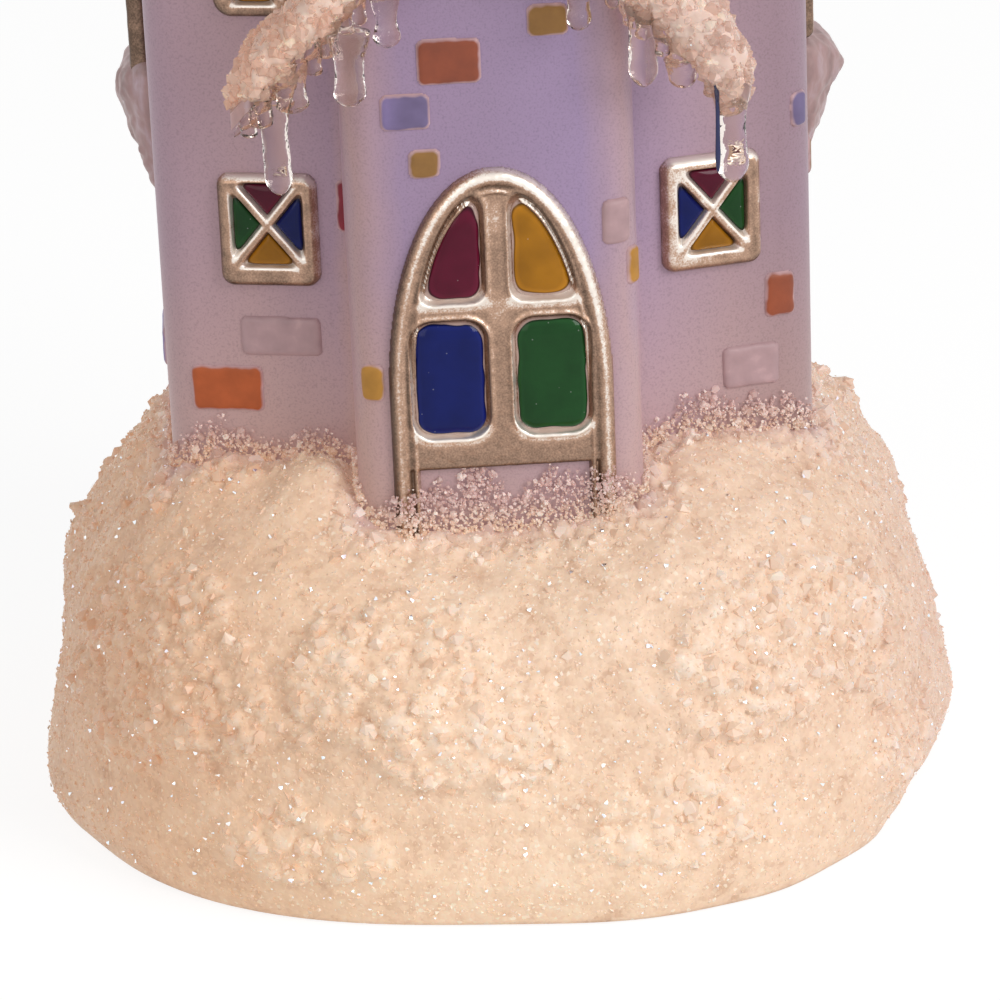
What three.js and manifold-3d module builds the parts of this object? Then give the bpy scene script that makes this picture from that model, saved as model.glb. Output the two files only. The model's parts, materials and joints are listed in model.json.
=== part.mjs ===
// Lighted village church: a moulded translucent church that stands in a mound of snow.
// Millimetres, +Z up, front towards -Y, origin on the ground under the middle of the mound.

import * as THREE from 'three';
import { mergeVertices } from 'three/addons/utils/BufferGeometryUtils.js';
import Module from 'manifold-3d';

const wasm = await Module();
wasm.setup();

// General
const FIT = 0.3; // gap between neighbouring pieces
const PIN_PLAY = 0.2; // radial play of a pin in its hole
const THROUGH = 400; // long enough to cut through anything here
const CORNER_STEPS = 4; // steps in a rounded corner
const ROUND_SIDES = 16;
const SMALL_SIDES = 12;

// Snow mound
const BASE_WIDTH = 152;
const BASE_DEPTH = 151;
const MOUND_HEIGHT = 66;
const MOUND_WAIST = 10; // height of the widest ring
const MOUND_TUCK = 0.037; // share of the half width lost at the ground
const MOUND_SQUARENESS = 2.4; // exponent of the outline
const MOUND_RISE = 1.47; // exponents of the side's curve
const MOUND_ROUNDING = 0.19;
const MOUND_LEAN = 10; // how far the top lies towards the front
const MOUND_LEAN_POWER = 2.4;
const MOUND_LUMPS_FADE = [10, 22]; // heights between which the lumps grow to their full rise
const MOUND_SIDES = 72;
const MOUND_RINGS = 14;
const BASE_LEVEL_STEP = 10; // between rings of the parts inside the mound
const SNOW_CLEARANCE = 0.5; // underside of the snow above the ground
const CRUST_THICKNESS = 5;
const DOOR_DIP = 9; // how much lower the snow lies in front of the door
const DOOR_DIP_WIDTH = 34;
const DOOR_DIP_SHIFT = -4;

// Base housing and bottom plate
const GROUND_CLEARANCE = 1.5;
const HOUSING_TOP = 48;
const HOUSING_WALL = 2.5;
const PLATE_THICKNESS = 4;
const LIGHT_HOLE_RADIUS = 15;
const FOOT_RADIUS = 6;
const FOOT_RECESS = 1;
const FOOT_X = BASE_WIDTH / 2 - 40;
const FOOT_Y = BASE_DEPTH / 2 - 25.5;
const SCREW_X = BASE_WIDTH / 2 - 30;
const SCREW_Y = BASE_DEPTH / 2 - 45.5;
const SCREW_RADIUS = 1.4;
const SCREW_LENGTH = 14;
const SCREW_HEAD_RADIUS = 3;
const SCREW_HEAD_HEIGHT = 1.6;
const SCREW_SLOT = 0.7;
const BOSS_RADIUS = 4;

// Battery compartment, for three round cells side by side
const CELL_RADIUS = 7.25;
const CELL_LENGTH = 50.5;
const CELL_PITCH = 15.2;
const CELL_COUNT = 3;
const NUB_RADIUS = 2.75;
const NUB_HEIGHT = 1;
const CONTACT_ROOM = 4.25; // from a cell's end to the wall
const CONTACT_THICKNESS = 0.4;
const CONTACT_HEIGHT = 11;
const CONTACT_WIDTH = 11;
const SPRING_RADIUS = 3.4;
const SPRING_TAPER = 0.7; // end radius as a share of the root's
const PIP_RADIUS = 2;
const WELL_WALL = 1.5;
const WELL_SIDE_PLAY = 0.75;
const WELL_HEADROOM = 0.9;
const DOOR_THICKNESS = 2.2;
const DOOR_RECESS = 0.4; // battery door's underside above the plate's underside
const HINGE_RADIUS = 1.7;
const HINGE_PIN_RADIUS = 0.9;
const HINGE_PIN_LENGTH = 1.8;
const LATCH_NOTCH = 8;

// Slide switch
const SWITCH_X = BASE_WIDTH / 2 - 32;
const SWITCH_TRAVEL = 4;
const KNOB_LENGTH = 5;
const KNOB_WIDTH = 4.4;
const KNOB_GROUND_GAP = 0.9;
const FLANGE_MARGIN = 2;
const FLANGE_THICKNESS = 1.2;
const SWITCH_WALL = 1.5;
const SWITCH_BODY_HEIGHT = 8;

// Light
const BOARD_LENGTH = 44;
const BOARD_WIDTH = 20;
const BOARD_THICKNESS = 1.6;
const BOARD_DROP = 6; // board's top face below the housing's ceiling
const POST_X = 19;
const POST_RADIUS = 2;
const LED_RADIUS = 2.5;
const LED_HEIGHT = 8.4;
const DIFFUSER_HEIGHT = 14;
const DIFFUSER_WALL = 1.4;
const DIFFUSER_FLANGE = 4;
const WIRE_RADIUS = 0.6;
const WIRE_HOLE_RADIUS = 1.2;
const WIRE_SIDES = 8;
const WIRE_STEP = 6; // length of a bend's step in wire radii
const WIRE_RISE = 2; // straight lead out of a hole
const WIRE_LOFT = 6; // free run above the battery compartment
const WIRE_DROP = 5; // under the board, where a wire turns up into it
const WIRE_PITCH = 4; // between the two wires of the switch
const WIRE_INWARD = 0.7; // where a wire leaves the edge, as a share of the way out

// Church body
const WALL = 2.5;
const BAY_HALF_WIDTH = 22.5;
const BAY_FRONT = -48;
const BAY_CORNER = 5;
const TOWER_BACK = -5;
const TOWER_TOP = 226;
const TOWER_SHELF = 150; // the tower's inner walls start here
const NAVE_HALF_WIDTH = 52;
const NAVE_BACK = 30;
const NAVE_CORNER = 7;
const WING_START = -32.7; // where a wing meets the bay
const WING_ANGLE = THREE.MathUtils.degToRad(13);
const NAVE_EAVES = 160;
const NAVE_PITCH = THREE.MathUtils.degToRad(40);
const BRICK_RELIEF = 0.7;
const BRICK_ROOT = 1.2; // depth inside the wall
const BRICK_REACH = 4; // depth outside the wall, before it is cut to the relief

// Door
const DOOR_CENTRE = 0.4;
const ARCH_SPRING = 80; // height where the arch begins
const ARCH_HALF_WIDTH = 15.8; // to the middle of the moulding
const ARCH_RISE = 35.6;
const MOULDING_WIDTH = 4.8;
const MOULDING_RELIEF = 1.75;
const MOULDING_FOOT = 57;
const MOULDING_STEPS = 44; // along its path
const PANEL_FOOT = 67.7;
const PANEL_RELIEF = 1.4;
const PANE_RELIEF = 2;
const PANE_CORNER = 2.2;
const PANE_HEAD = 3.8; // how far the rounding runs down the mullion side of an upper pane
const MULLION_WIDTH = 5;
const DOOR_RAIL = 94; // middle of the rail between lower and upper panes
const RAIL_WIDTH = 5.4;
const SILL_WIDTH = 6;
const PANE_INSET = 2.35; // from the middle of the moulding to a pane

// Windows
const LOWER_WINDOW_Z = 102.5;
const LOWER_WINDOW_ALONG = 12.6; // from the bay, along the wing
const WINDOW_SHIFT = 0.5; // both lower windows lie a little to the right
const UPPER_WINDOW_Z = 146.1;
const UPPER_WINDOW_ALONG = 12.2;
const UPPER_WINDOW_WIDTH = 12.4;
const UPPER_WINDOW_CORNER = 3;
const SQUARE_WINDOW_WIDTH = 14.6;
const SQUARE_WINDOW_HEIGHT = 17;
const SQUARE_WINDOW_CORNER = 1.6;
const FRAME_BAR = 1.9;
const FRAME_RELIEF = 2;
const REBATE = 0.8; // from the wall to a glazing bar
const BACKING = 0.5; // thin sheet that joins the panes of a window
const SIDE_WINDOW_WIDTH = 16;
const SIDE_WINDOW_HEIGHT = 32;
const SIDE_WINDOW_SILL = 121.5;
const SIDE_WINDOW_RELIEF = 3;
const BACK_WINDOW_WIDTH = 22;
const BACK_WINDOW_HEIGHT = 46;
const BACK_WINDOW_SILL = 92;
const TOWER_WINDOW_WIDTH = 14;
const TOWER_WINDOW_HEIGHT = 26;
const TOWER_WINDOW_SILL = 187;
const SIDE_WALL_MIDDLE = 2;

// Porch canopy over the bay
const PORCH_HALF_SPAN = 39;
const PORCH_EAVES = 127;
const PORCH_PITCH = THREE.MathUtils.degToRad(46);
const PORCH_FRONT = -55;
const PORCH_DEPTH = 11;
const PORCH_THICKNESS = 2.5;
const PORCH_SNOW_DEPTH = 3.5;
const PORCH_SNOW_OVERHANG = 1.2;
const ICICLE_RAIL = 2.4;
const ICICLE_LENGTH = 10;
const ICICLE_RADIUS = 2;
const ICICLE_NECK = 0.45; // thinnest part, above the bulb at the tip, as a share of the root's radius
const ICICLE_BULB = 0.5;
const ICICLE_SHOULDER = 0.75;

// Nave roof
const ROOF_THICKNESS = 3;
const ROOF_OVERHANG = 4;
const ROOF_SNOW_DEPTH = 5;
const ROOF_SNOW_SETBACK = 0.8;

// Belfry, spire and cross
const CORNICE_HEIGHT = 3.5;
const CORNICE_OVERHANG = 2.5;
const BELFRY_HEIGHT = 24;
const BELFRY_SETBACK = 4;
const BELFRY_WALL = 2;
const BELFRY_ARCH_WIDTH = 10;
const BELFRY_ARCH_HEIGHT = 15;
const BELFRY_ARCH_SILL = 2;
const SPIRE_HEIGHT = 38;
const SPIRE_OVERHANG = 2.5;
const SPIRE_WALL = 2;
const SPIRE_SNOW_DEPTH = 2.5;
const SPIRE_SNOW_START = 7;
const CROSS_HEIGHT = 13.5;
const CROSS_ARM = 8.5;
const CROSS_BAR = 2.2;
const CROSS_ARM_SHARE = 0.64;

// Snow and ice on the side sills
const SILL_SNOW_WIDTH = 20;
const SILL_SNOW_HEIGHT = 17;
const SILL_SNOW_DEPTH = 7;
const SILL_ICE_RADIUS = 2;
const SILL_ICE_DROP = 0.65; // tips under the lump's middle, as a share of its height
const SILL_ICE_PLACES = [-0.5, 0.05, 0.55]; // shares of the half width

// Places worked out from the sizes
const BODY_BOTTOM = HOUSING_TOP + FIT;
const PLATE_TOP = GROUND_CLEARANCE + PLATE_THICKNESS;
const CEILING = HOUSING_TOP - HOUSING_WALL;
const WELL_HALF_X = ((CELL_COUNT - 1) * CELL_PITCH) / 2 + CELL_RADIUS + WELL_SIDE_PLAY;
const WELL_HALF_Y = CELL_LENGTH / 2 + CONTACT_ROOM;
const DOOR_BOTTOM = GROUND_CLEARANCE + DOOR_RECESS;
const CELL_AXIS = DOOR_BOTTOM + DOOR_THICKNESS + FIT + CELL_RADIUS;
const WELL_CEILING = CELL_AXIS + CELL_RADIUS + WELL_HEADROOM;
const WELL_TOP = WELL_CEILING + WELL_WALL;
const HINGE_Y = WELL_HALF_Y - FIT - HINGE_RADIUS;
const HINGE_Z = GROUND_CLEARANCE + PLATE_THICKNESS / 2;
const BOARD_TOP = CEILING - BOARD_DROP;
const BOARD_BOTTOM = BOARD_TOP - BOARD_THICKNESS;
const TERMINAL_TOP = CELL_AXIS + CONTACT_HEIGHT / 2 + FIT;
const SWITCH_TOP = PLATE_TOP + 2 * FIT + SWITCH_BODY_HEIGHT;
const TOWER_MIDDLE = (BAY_FRONT + TOWER_BACK) / 2;
const TOWER_HALF_DEPTH = (TOWER_BACK - BAY_FRONT) / 2;
const WING_END = WING_START + (NAVE_HALF_WIDTH - BAY_HALF_WIDTH) * Math.tan(WING_ANGLE);
const WING_LENGTH = (NAVE_HALF_WIDTH - BAY_HALF_WIDTH) / Math.cos(WING_ANGLE);
const WING_INNER = BAY_HALF_WIDTH - WALL - FIT; // hidden behind the bay
const BELFRY_BOTTOM = TOWER_TOP + FIT;
const BELFRY_TOP = BELFRY_BOTTOM + BELFRY_HEIGHT;
const SPIRE_BOTTOM = BELFRY_TOP + FIT;
const SPIRE_HALF = TOWER_HALF_DEPTH - BELFRY_SETBACK + SPIRE_OVERHANG;
const PANE_GAP = FIT;

// Finishes
function finish(color, roughness, metalness = 0, opacity = 1) {
  return new THREE.MeshStandardMaterial({
    color,
    roughness,
    metalness,
    opacity,
    transparent: opacity < 1,
  });
}
const frosted = () => finish(0xa591b9, 0.45, 0, 0.85);
const snow = () => finish(0xebcdb0, 0.9);
const ice = () => finish(0xf2f4f8, 0.08, 0, 0.5);
const gold = () => finish(0xaa966f, 0.32, 0.9);
const blackPlastic = () => finish(0x1d1d20, 0.5);
const whitePlastic = () => finish(0xe6e3de, 0.5);
const steel = () => finish(0xb8bcc0, 0.3, 0.9);
const rubber = () => finish(0x2a2a2a, 0.9);
const resin = (color) => finish(color, 0.12, 0, 0.8);

const church = new THREE.Group();

function place(name, shape, material, parent = church) {
  const geometry = shape instanceof THREE.BufferGeometry ? shape : geometryOf(shape);
  const mesh = new THREE.Mesh(geometry, material);
  mesh.name = name;
  parent.add(mesh);
  return mesh;
}

// Closed meshes to solids and back
function solidOf(source) {
  const bare = source.clone();
  bare.deleteAttribute('normal');
  bare.deleteAttribute('uv');
  const merged = mergeVertices(bare, 1e-4);
  return new wasm.Manifold(new wasm.Mesh({
    numProp: 3,
    vertProperties: new Float32Array(merged.attributes.position.array),
    triVerts: new Uint32Array(merged.index.array),
  }));
}

function geometryOf(solid) {
  const mesh = solid.getMesh();
  const geometry = new THREE.BufferGeometry();
  geometry.setAttribute('position', new THREE.BufferAttribute(mesh.vertProperties, 3));
  geometry.setIndex(new THREE.BufferAttribute(mesh.triVerts, 1));
  geometry.computeVertexNormals();
  return geometry;
}

// Simple solids
function block(x0, x1, y0, y1, z0, z1) {
  const box = new THREE.BoxGeometry(x1 - x0, y1 - y0, z1 - z0);
  box.translate((x0 + x1) / 2, (y0 + y1) / 2, (z0 + z1) / 2);
  return solidOf(box);
}

function post(x, y, z0, z1, radius) {
  const sides = radius > SCREW_HEAD_RADIUS + FIT ? ROUND_SIDES : SMALL_SIDES;
  const cylinder = new THREE.CylinderGeometry(radius, radius, z1 - z0, sides);
  cylinder.rotateX(Math.PI / 2);
  cylinder.translate(x, y, (z0 + z1) / 2);
  return solidOf(cylinder);
}

function rodAlongX(x0, x1, y, z, radius) {
  const cylinder = new THREE.CylinderGeometry(radius, radius, x1 - x0, SMALL_SIDES);
  cylinder.rotateZ(Math.PI / 2);
  cylinder.translate((x0 + x1) / 2, y, z);
  return solidOf(cylinder);
}

function extruded(shape, depth) {
  return new THREE.ExtrudeGeometry(shape, {
    depth,
    bevelEnabled: false,
    curveSegments: CORNER_STEPS,
  });
}

function standing(shape, z0, z1) {
  const prism = extruded(shape, z1 - z0);
  prism.translate(0, 0, z0);
  return solidOf(prism);
}

// A shape drawn in x and z, from one distance in front of the plane y = 0 to another
function facing(shape, from, to) {
  const prism = extruded(shape, to - from);
  prism.rotateX(Math.PI / 2);
  prism.translate(0, -from, 0);
  return solidOf(prism);
}

// A shape drawn in x and z, between two places along y
function lying(shape, y0, y1) {
  return facing(shape, -y1, -y0);
}

// Rounded outline of a convex polygon, moved outwards by grow
function roundedOutline(corners, grow = 0) {
  const shape = new THREE.Shape();
  corners.forEach((corner, i) => {
    const before = corners[(i + corners.length - 1) % corners.length];
    const after = corners[(i + 1) % corners.length];
    const arriving = new THREE.Vector2(corner.x - before.x, corner.y - before.y).normalize();
    const leaving = new THREE.Vector2(after.x - corner.x, after.y - corner.y).normalize();
    const turn = Math.atan2(arriving.cross(leaving), arriving.dot(leaving));
    const outward = new THREE.Vector2(arriving.y + leaving.y, -arriving.x - leaving.x).normalize();
    const tip = new THREE.Vector2(corner.x, corner.y).addScaledVector(outward, grow / Math.cos(turn / 2));
    const radius = Math.max((corner.radius ?? 0) + grow, 0);
    if (radius > 0 && corner.radius) {
      const start = tip.clone().addScaledVector(arriving, -radius * Math.tan(turn / 2));
      const centreX = start.x - arriving.y * radius;
      const centreY = start.y + arriving.x * radius;
      const from = Math.atan2(start.y - centreY, start.x - centreX);
      shape.absarc(centreX, centreY, radius, from, from + turn, false);
    } else if (i === 0) {
      shape.moveTo(tip.x, tip.y);
    } else {
      shape.lineTo(tip.x, tip.y);
    }
  });
  return shape;
}

function roundedRectangle(width, height, radius, grow = 0, x = 0, y = 0) {
  const right = width / 2;
  const top = height / 2;
  return roundedOutline([
    { x: x - right, y: y - top, radius },
    { x: x + right, y: y - top, radius },
    { x: x + right, y: y + top, radius },
    { x: x - right, y: y + top, radius },
  ], grow);
}

// Upright rectangle with a half-round head, standing on y = 0
function archedOutline(width, height, grow = 0) {
  const radius = width / 2 + grow;
  const spring = height - width / 2;
  const shape = new THREE.Shape();
  shape.moveTo(-radius, -grow);
  shape.lineTo(radius, -grow);
  shape.absarc(0, spring, radius, 0, Math.PI, false);
  return shape;
}

// How far a height lies up the mound's dome, from 0 at its widest ring to 1 at its top
function moundClimb(z) {
  return THREE.MathUtils.clamp((z - MOUND_WAIST) / (MOUND_HEIGHT - MOUND_WAIST), 0, 1);
}

// The mound's half width at a height, as a share of the widest
function moundShare(z) {
  if (z < MOUND_WAIST) {
    const drop = (MOUND_WAIST - z) / MOUND_WAIST;
    return 1 - MOUND_TUCK * drop * drop;
  }
  return Math.pow(1 - Math.pow(moundClimb(z), MOUND_RISE), MOUND_ROUNDING);
}

function squircle(halfX, halfY, angle) {
  const power = 2 / MOUND_SQUARENESS;
  const c = Math.cos(angle);
  const s = Math.sin(angle);
  return [
    halfX * Math.sign(c) * Math.pow(Math.abs(c), power),
    halfY * Math.sign(s) * Math.pow(Math.abs(s), power),
  ];
}

function snowDip(x, y, z) {
  const across = Math.exp(-(((x - DOOR_DIP_SHIFT) / DOOR_DIP_WIDTH) ** 2));
  const near = THREE.MathUtils.smoothstep(y, BAY_FRONT, TOWER_BACK);
  const high = THREE.MathUtils.smoothstep(z, MOUND_HEIGHT / 2, MOUND_HEIGHT);
  return DOOR_DIP * across * (1 - near) * high;
}

function moundPlace(z, angle, grow) {
  const share = moundShare(z);
  const lean = MOUND_LEAN * Math.pow(moundClimb(z), MOUND_LEAN_POWER);
  const [x, y] = squircle((BASE_WIDTH / 2) * share + grow, (BASE_DEPTH / 2) * share + grow, angle);
  return new THREE.Vector3(x, y - lean, z);
}

// Lumps of the crust: direction of the middle in degrees from +X, its height, radius and rise
const MOUND_LUMPS = [
  { turn: 225, z: 39, radius: 15, rise: 2.4 },
  { turn: 259, z: 37, radius: 15, rise: 2.2 },
  { turn: 231, z: 55, radius: 12, rise: 1.4 },
  { turn: 171, z: 38, radius: 11, rise: 1.7 },
  { turn: 6, z: 43, radius: 11, rise: 1.8 },
  { turn: 291, z: 34, radius: 14, rise: 0.9 },
  { turn: 326, z: 42, radius: 13, rise: 1 },
  { turn: 34, z: 36, radius: 14, rise: 2 },
  { turn: 73, z: 42, radius: 15, rise: 2.2 },
  { turn: 98, z: 28, radius: 14, rise: 1.8 },
  { turn: 129, z: 44, radius: 14, rise: 2.2 },
  { turn: 154, z: 28, radius: 13, rise: 1.8 },
];

function lumpRise(place) {
  const grown = THREE.MathUtils.smoothstep(place.z, ...MOUND_LUMPS_FADE);
  return MOUND_LUMPS.reduce((sum, { turn, z, radius, rise }) => {
    const middle = moundPlace(z, THREE.MathUtils.degToRad(turn), 0);
    return sum + grown * rise * Math.exp(-((place.distanceTo(middle) / radius) ** 2));
  }, 0);
}

function moundRing(z, inset, lumpy) {
  const ring = [];
  for (let i = 0; i < MOUND_SIDES; i += 1) {
    const angle = (i / MOUND_SIDES) * 2 * Math.PI;
    const lump = lumpy ? lumpRise(moundPlace(z, angle, 0)) : 0;
    const place = moundPlace(z, angle, lump - inset);
    if (lumpy) place.z -= snowDip(place.x, place.y, z);
    ring.push(place);
  }
  return ring;
}

// Closed solid through level rings with the same count of points
function ringSolid(rings) {
  const points = rings.flat();
  const count = rings[0].length;
  const first = points.length;
  const foot = new THREE.Vector3(0, 0, rings[0][0].z);
  const head = new THREE.Vector3(0, 0, rings.at(-1)[0].z);
  const triangles = [];
  for (let i = 0; i < count; i += 1) {
    const next = (i + 1) % count;
    triangles.push(first, next, i);
    for (let level = 0; level + 1 < rings.length; level += 1) {
      const low = level * count;
      const high = low + count;
      triangles.push(low + i, low + next, high + next);
      triangles.push(low + i, high + next, high + i);
    }
    const last = (rings.length - 1) * count;
    triangles.push(last + i, last + next, first + 1);
  }
  const geometry = new THREE.BufferGeometry().setFromPoints([...points, foot, head]);
  geometry.setIndex(triangles);
  return solidOf(geometry);
}

function moundSurface() {
  const rings = [
    moundRing(SNOW_CLEARANCE, 0, true),
    moundRing((SNOW_CLEARANCE + MOUND_WAIST) / 2, 0, true),
  ];
  for (let i = 0; i <= MOUND_RINGS; i += 1) {
    const climb = Math.sin(((i / MOUND_RINGS) * Math.PI) / 2);
    rings.push(moundRing(MOUND_WAIST + (MOUND_HEIGHT - MOUND_WAIST) * climb, 0, true));
  }
  return ringSolid(rings);
}

// The mound's shape moved inwards, with its rings on the same levels whatever the inset
function moundCore(bottom, top, inset) {
  const levels = [GROUND_CLEARANCE];
  for (let level = MOUND_WAIST / 2; level < HOUSING_TOP - FIT; level += BASE_LEVEL_STEP) {
    levels.push(level);
  }
  levels.push(HOUSING_TOP);
  const inside = levels.filter((level) => level > bottom && level < top);
  return ringSolid([bottom, ...inside, top].map((level) => moundRing(level, inset)));
}

// Walls as places: local x runs along the wall, local -y points out of it
const WALLS = {
  bay: { x: 0, y: BAY_FRONT, turn: 0 },
  leftWing: { x: -BAY_HALF_WIDTH, y: WING_START, turn: -WING_ANGLE },
  rightWing: { x: BAY_HALF_WIDTH, y: WING_START, turn: WING_ANGLE },
  leftSide: { x: -NAVE_HALF_WIDTH, y: SIDE_WALL_MIDDLE, turn: -Math.PI / 2 },
  rightSide: { x: NAVE_HALF_WIDTH, y: SIDE_WALL_MIDDLE, turn: Math.PI / 2 },
  back: { x: 0, y: NAVE_BACK, turn: Math.PI },
};

function wallMatrix(wall) {
  const { x, y, turn } = WALLS[wall];
  return new THREE.Matrix4().makeRotationZ(turn).setPosition(x, y, 0);
}

function wallGroup(wall, x, z) {
  const group = new THREE.Group();
  group.position.set(x, 0, z).applyMatrix4(wallMatrix(wall));
  group.rotation.z = WALLS[wall].turn;
  church.add(group);
  return group;
}

// Painted bricks in low relief: middle, width and height on their wall
const BRICKS = [
  { wall: 'bay', x: -5.6, z: 133.9, width: 9.7, height: 7.2 },
  { wall: 'bay', x: 9.6, z: 139.6, width: 6.2, height: 5 },
  { wall: 'bay', x: -12.6, z: 126.2, width: 7.5, height: 5.7 },
  { wall: 'bay', x: -10, z: 117.8, width: 4.9, height: 4.6 },
  { wall: 'bay', x: -19.7, z: 82.4, width: 3.8, height: 6.1 },
  { wall: 'bay', x: 19.2, z: 106.8, width: 4.6, height: 7.2 },
  { wall: 'bay', x: 21.2, z: 98.6, width: 3.6, height: 6.2 },
  { wall: 'bay', x: -6.5, z: 178, width: 8, height: 5.6 },
  { wall: 'bay', x: 12.5, z: 196, width: 7, height: 5.6 },
  { wall: 'bay', x: -13.5, z: 210, width: 8.5, height: 6 },
  { wall: 'leftWing', x: -11.2, z: 84.8, width: 13, height: 6.5 },
  { wall: 'leftWing', x: 10.4 - WING_LENGTH, z: 76.4, width: 10.6, height: 7.9 },
  { wall: 'leftWing', x: -2, z: 105.5, width: 3, height: 7.4 },
  { wall: 'rightWing', x: WING_LENGTH - 5.8, z: 86.1, width: 5, height: 7.4 },
  { wall: 'rightWing', x: WING_LENGTH - 10.9, z: 74.6, width: 9.4, height: 7.1 },
  { wall: 'rightWing', x: WING_LENGTH - 2.8, z: 116.1, width: 3.6, height: 5.8 },
  { wall: 'leftSide', x: -14, z: 92, width: 11, height: 7 },
  { wall: 'leftSide', x: 10, z: 78, width: 12, height: 6.5 },
  { wall: 'leftSide', x: 16, z: 142, width: 8, height: 6.5 },
  { wall: 'rightSide', x: -19, z: 106.5, width: 6, height: 6.4 },
  { wall: 'rightSide', x: 14, z: 92, width: 11, height: 7 },
  { wall: 'rightSide', x: -10, z: 78, width: 12, height: 6.5 },
  { wall: 'rightSide', x: -16, z: 142, width: 8, height: 6.5 },
  { wall: 'back', x: -30, z: 84, width: 12, height: 7 },
  { wall: 'back', x: 26, z: 98, width: 11, height: 6.5 },
  { wall: 'back', x: -24, z: 128, width: 10, height: 6.5 },
  { wall: 'back', x: 30, z: 146, width: 9, height: 6.5 },
];

// Base: mound, housing, plate and feet
const naveCorners = [
  { x: -WING_INNER, y: WING_START - (BAY_HALF_WIDTH - WING_INNER) * Math.tan(WING_ANGLE) },
  { x: WING_INNER, y: WING_START - (BAY_HALF_WIDTH - WING_INNER) * Math.tan(WING_ANGLE) },
  { x: NAVE_HALF_WIDTH, y: WING_END, radius: NAVE_CORNER },
  { x: NAVE_HALF_WIDTH, y: NAVE_BACK, radius: NAVE_CORNER },
  { x: -NAVE_HALF_WIDTH, y: NAVE_BACK, radius: NAVE_CORNER },
  { x: -NAVE_HALF_WIDTH, y: WING_END, radius: NAVE_CORNER },
];
const towerCorners = [
  { x: -BAY_HALF_WIDTH, y: BAY_FRONT, radius: BAY_CORNER },
  { x: BAY_HALF_WIDTH, y: BAY_FRONT, radius: BAY_CORNER },
  { x: BAY_HALF_WIDTH, y: TOWER_BACK, radius: BAY_CORNER },
  { x: -BAY_HALF_WIDTH, y: TOWER_BACK, radius: BAY_CORNER },
];

function bodyFootprint(grow, z0, z1) {
  const nave = standing(roundedOutline(naveCorners, grow), z0, z1);
  const tower = standing(roundedOutline(towerCorners, grow), z0, z1);
  return nave.add(tower);
}

function makeMound() {
  const outside = moundSurface();
  const cavity = moundCore(-SNOW_CLEARANCE, HOUSING_TOP + FIT, CRUST_THICKNESS);
  const doorHalf = ARCH_HALF_WIDTH + MOULDING_WIDTH + FIT;
  const doorRecess = block(
    DOOR_CENTRE - doorHalf,
    DOOR_CENTRE + doorHalf,
    BAY_FRONT - MOULDING_RELIEF - FIT,
    BAY_FRONT,
    MOULDING_FOOT - FIT,
    THROUGH,
  );
  return outside.subtract(cavity).subtract(bodyFootprint(FIT, 0, THROUGH)).subtract(doorRecess);
}

function makeHousing() {
  const inset = CRUST_THICKNESS + FIT;
  const outside = moundCore(GROUND_CLEARANCE, HOUSING_TOP, inset);
  let housing = outside.subtract(moundCore(GROUND_CLEARANCE - 1, CEILING, inset + HOUSING_WALL));
  for (const x of [-SCREW_X, SCREW_X]) {
    for (const y of [-SCREW_Y, SCREW_Y]) {
      const boss = post(x, y, PLATE_TOP + FIT, HOUSING_TOP - 1, BOSS_RADIUS).intersect(outside);
      const hole = post(x, y, 0, PLATE_TOP + SCREW_LENGTH + 1, SCREW_RADIUS + PIN_PLAY);
      housing = housing.add(boss).subtract(hole);
    }
  }
  housing = housing.subtract(post(0, 0, 0, THROUGH, LIGHT_HOLE_RADIUS));
  for (const x of [-POST_X, POST_X]) {
    housing = housing.add(post(x, 0, BOARD_TOP + FIT, HOUSING_TOP - 1, POST_RADIUS));
  }
  return housing;
}

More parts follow.
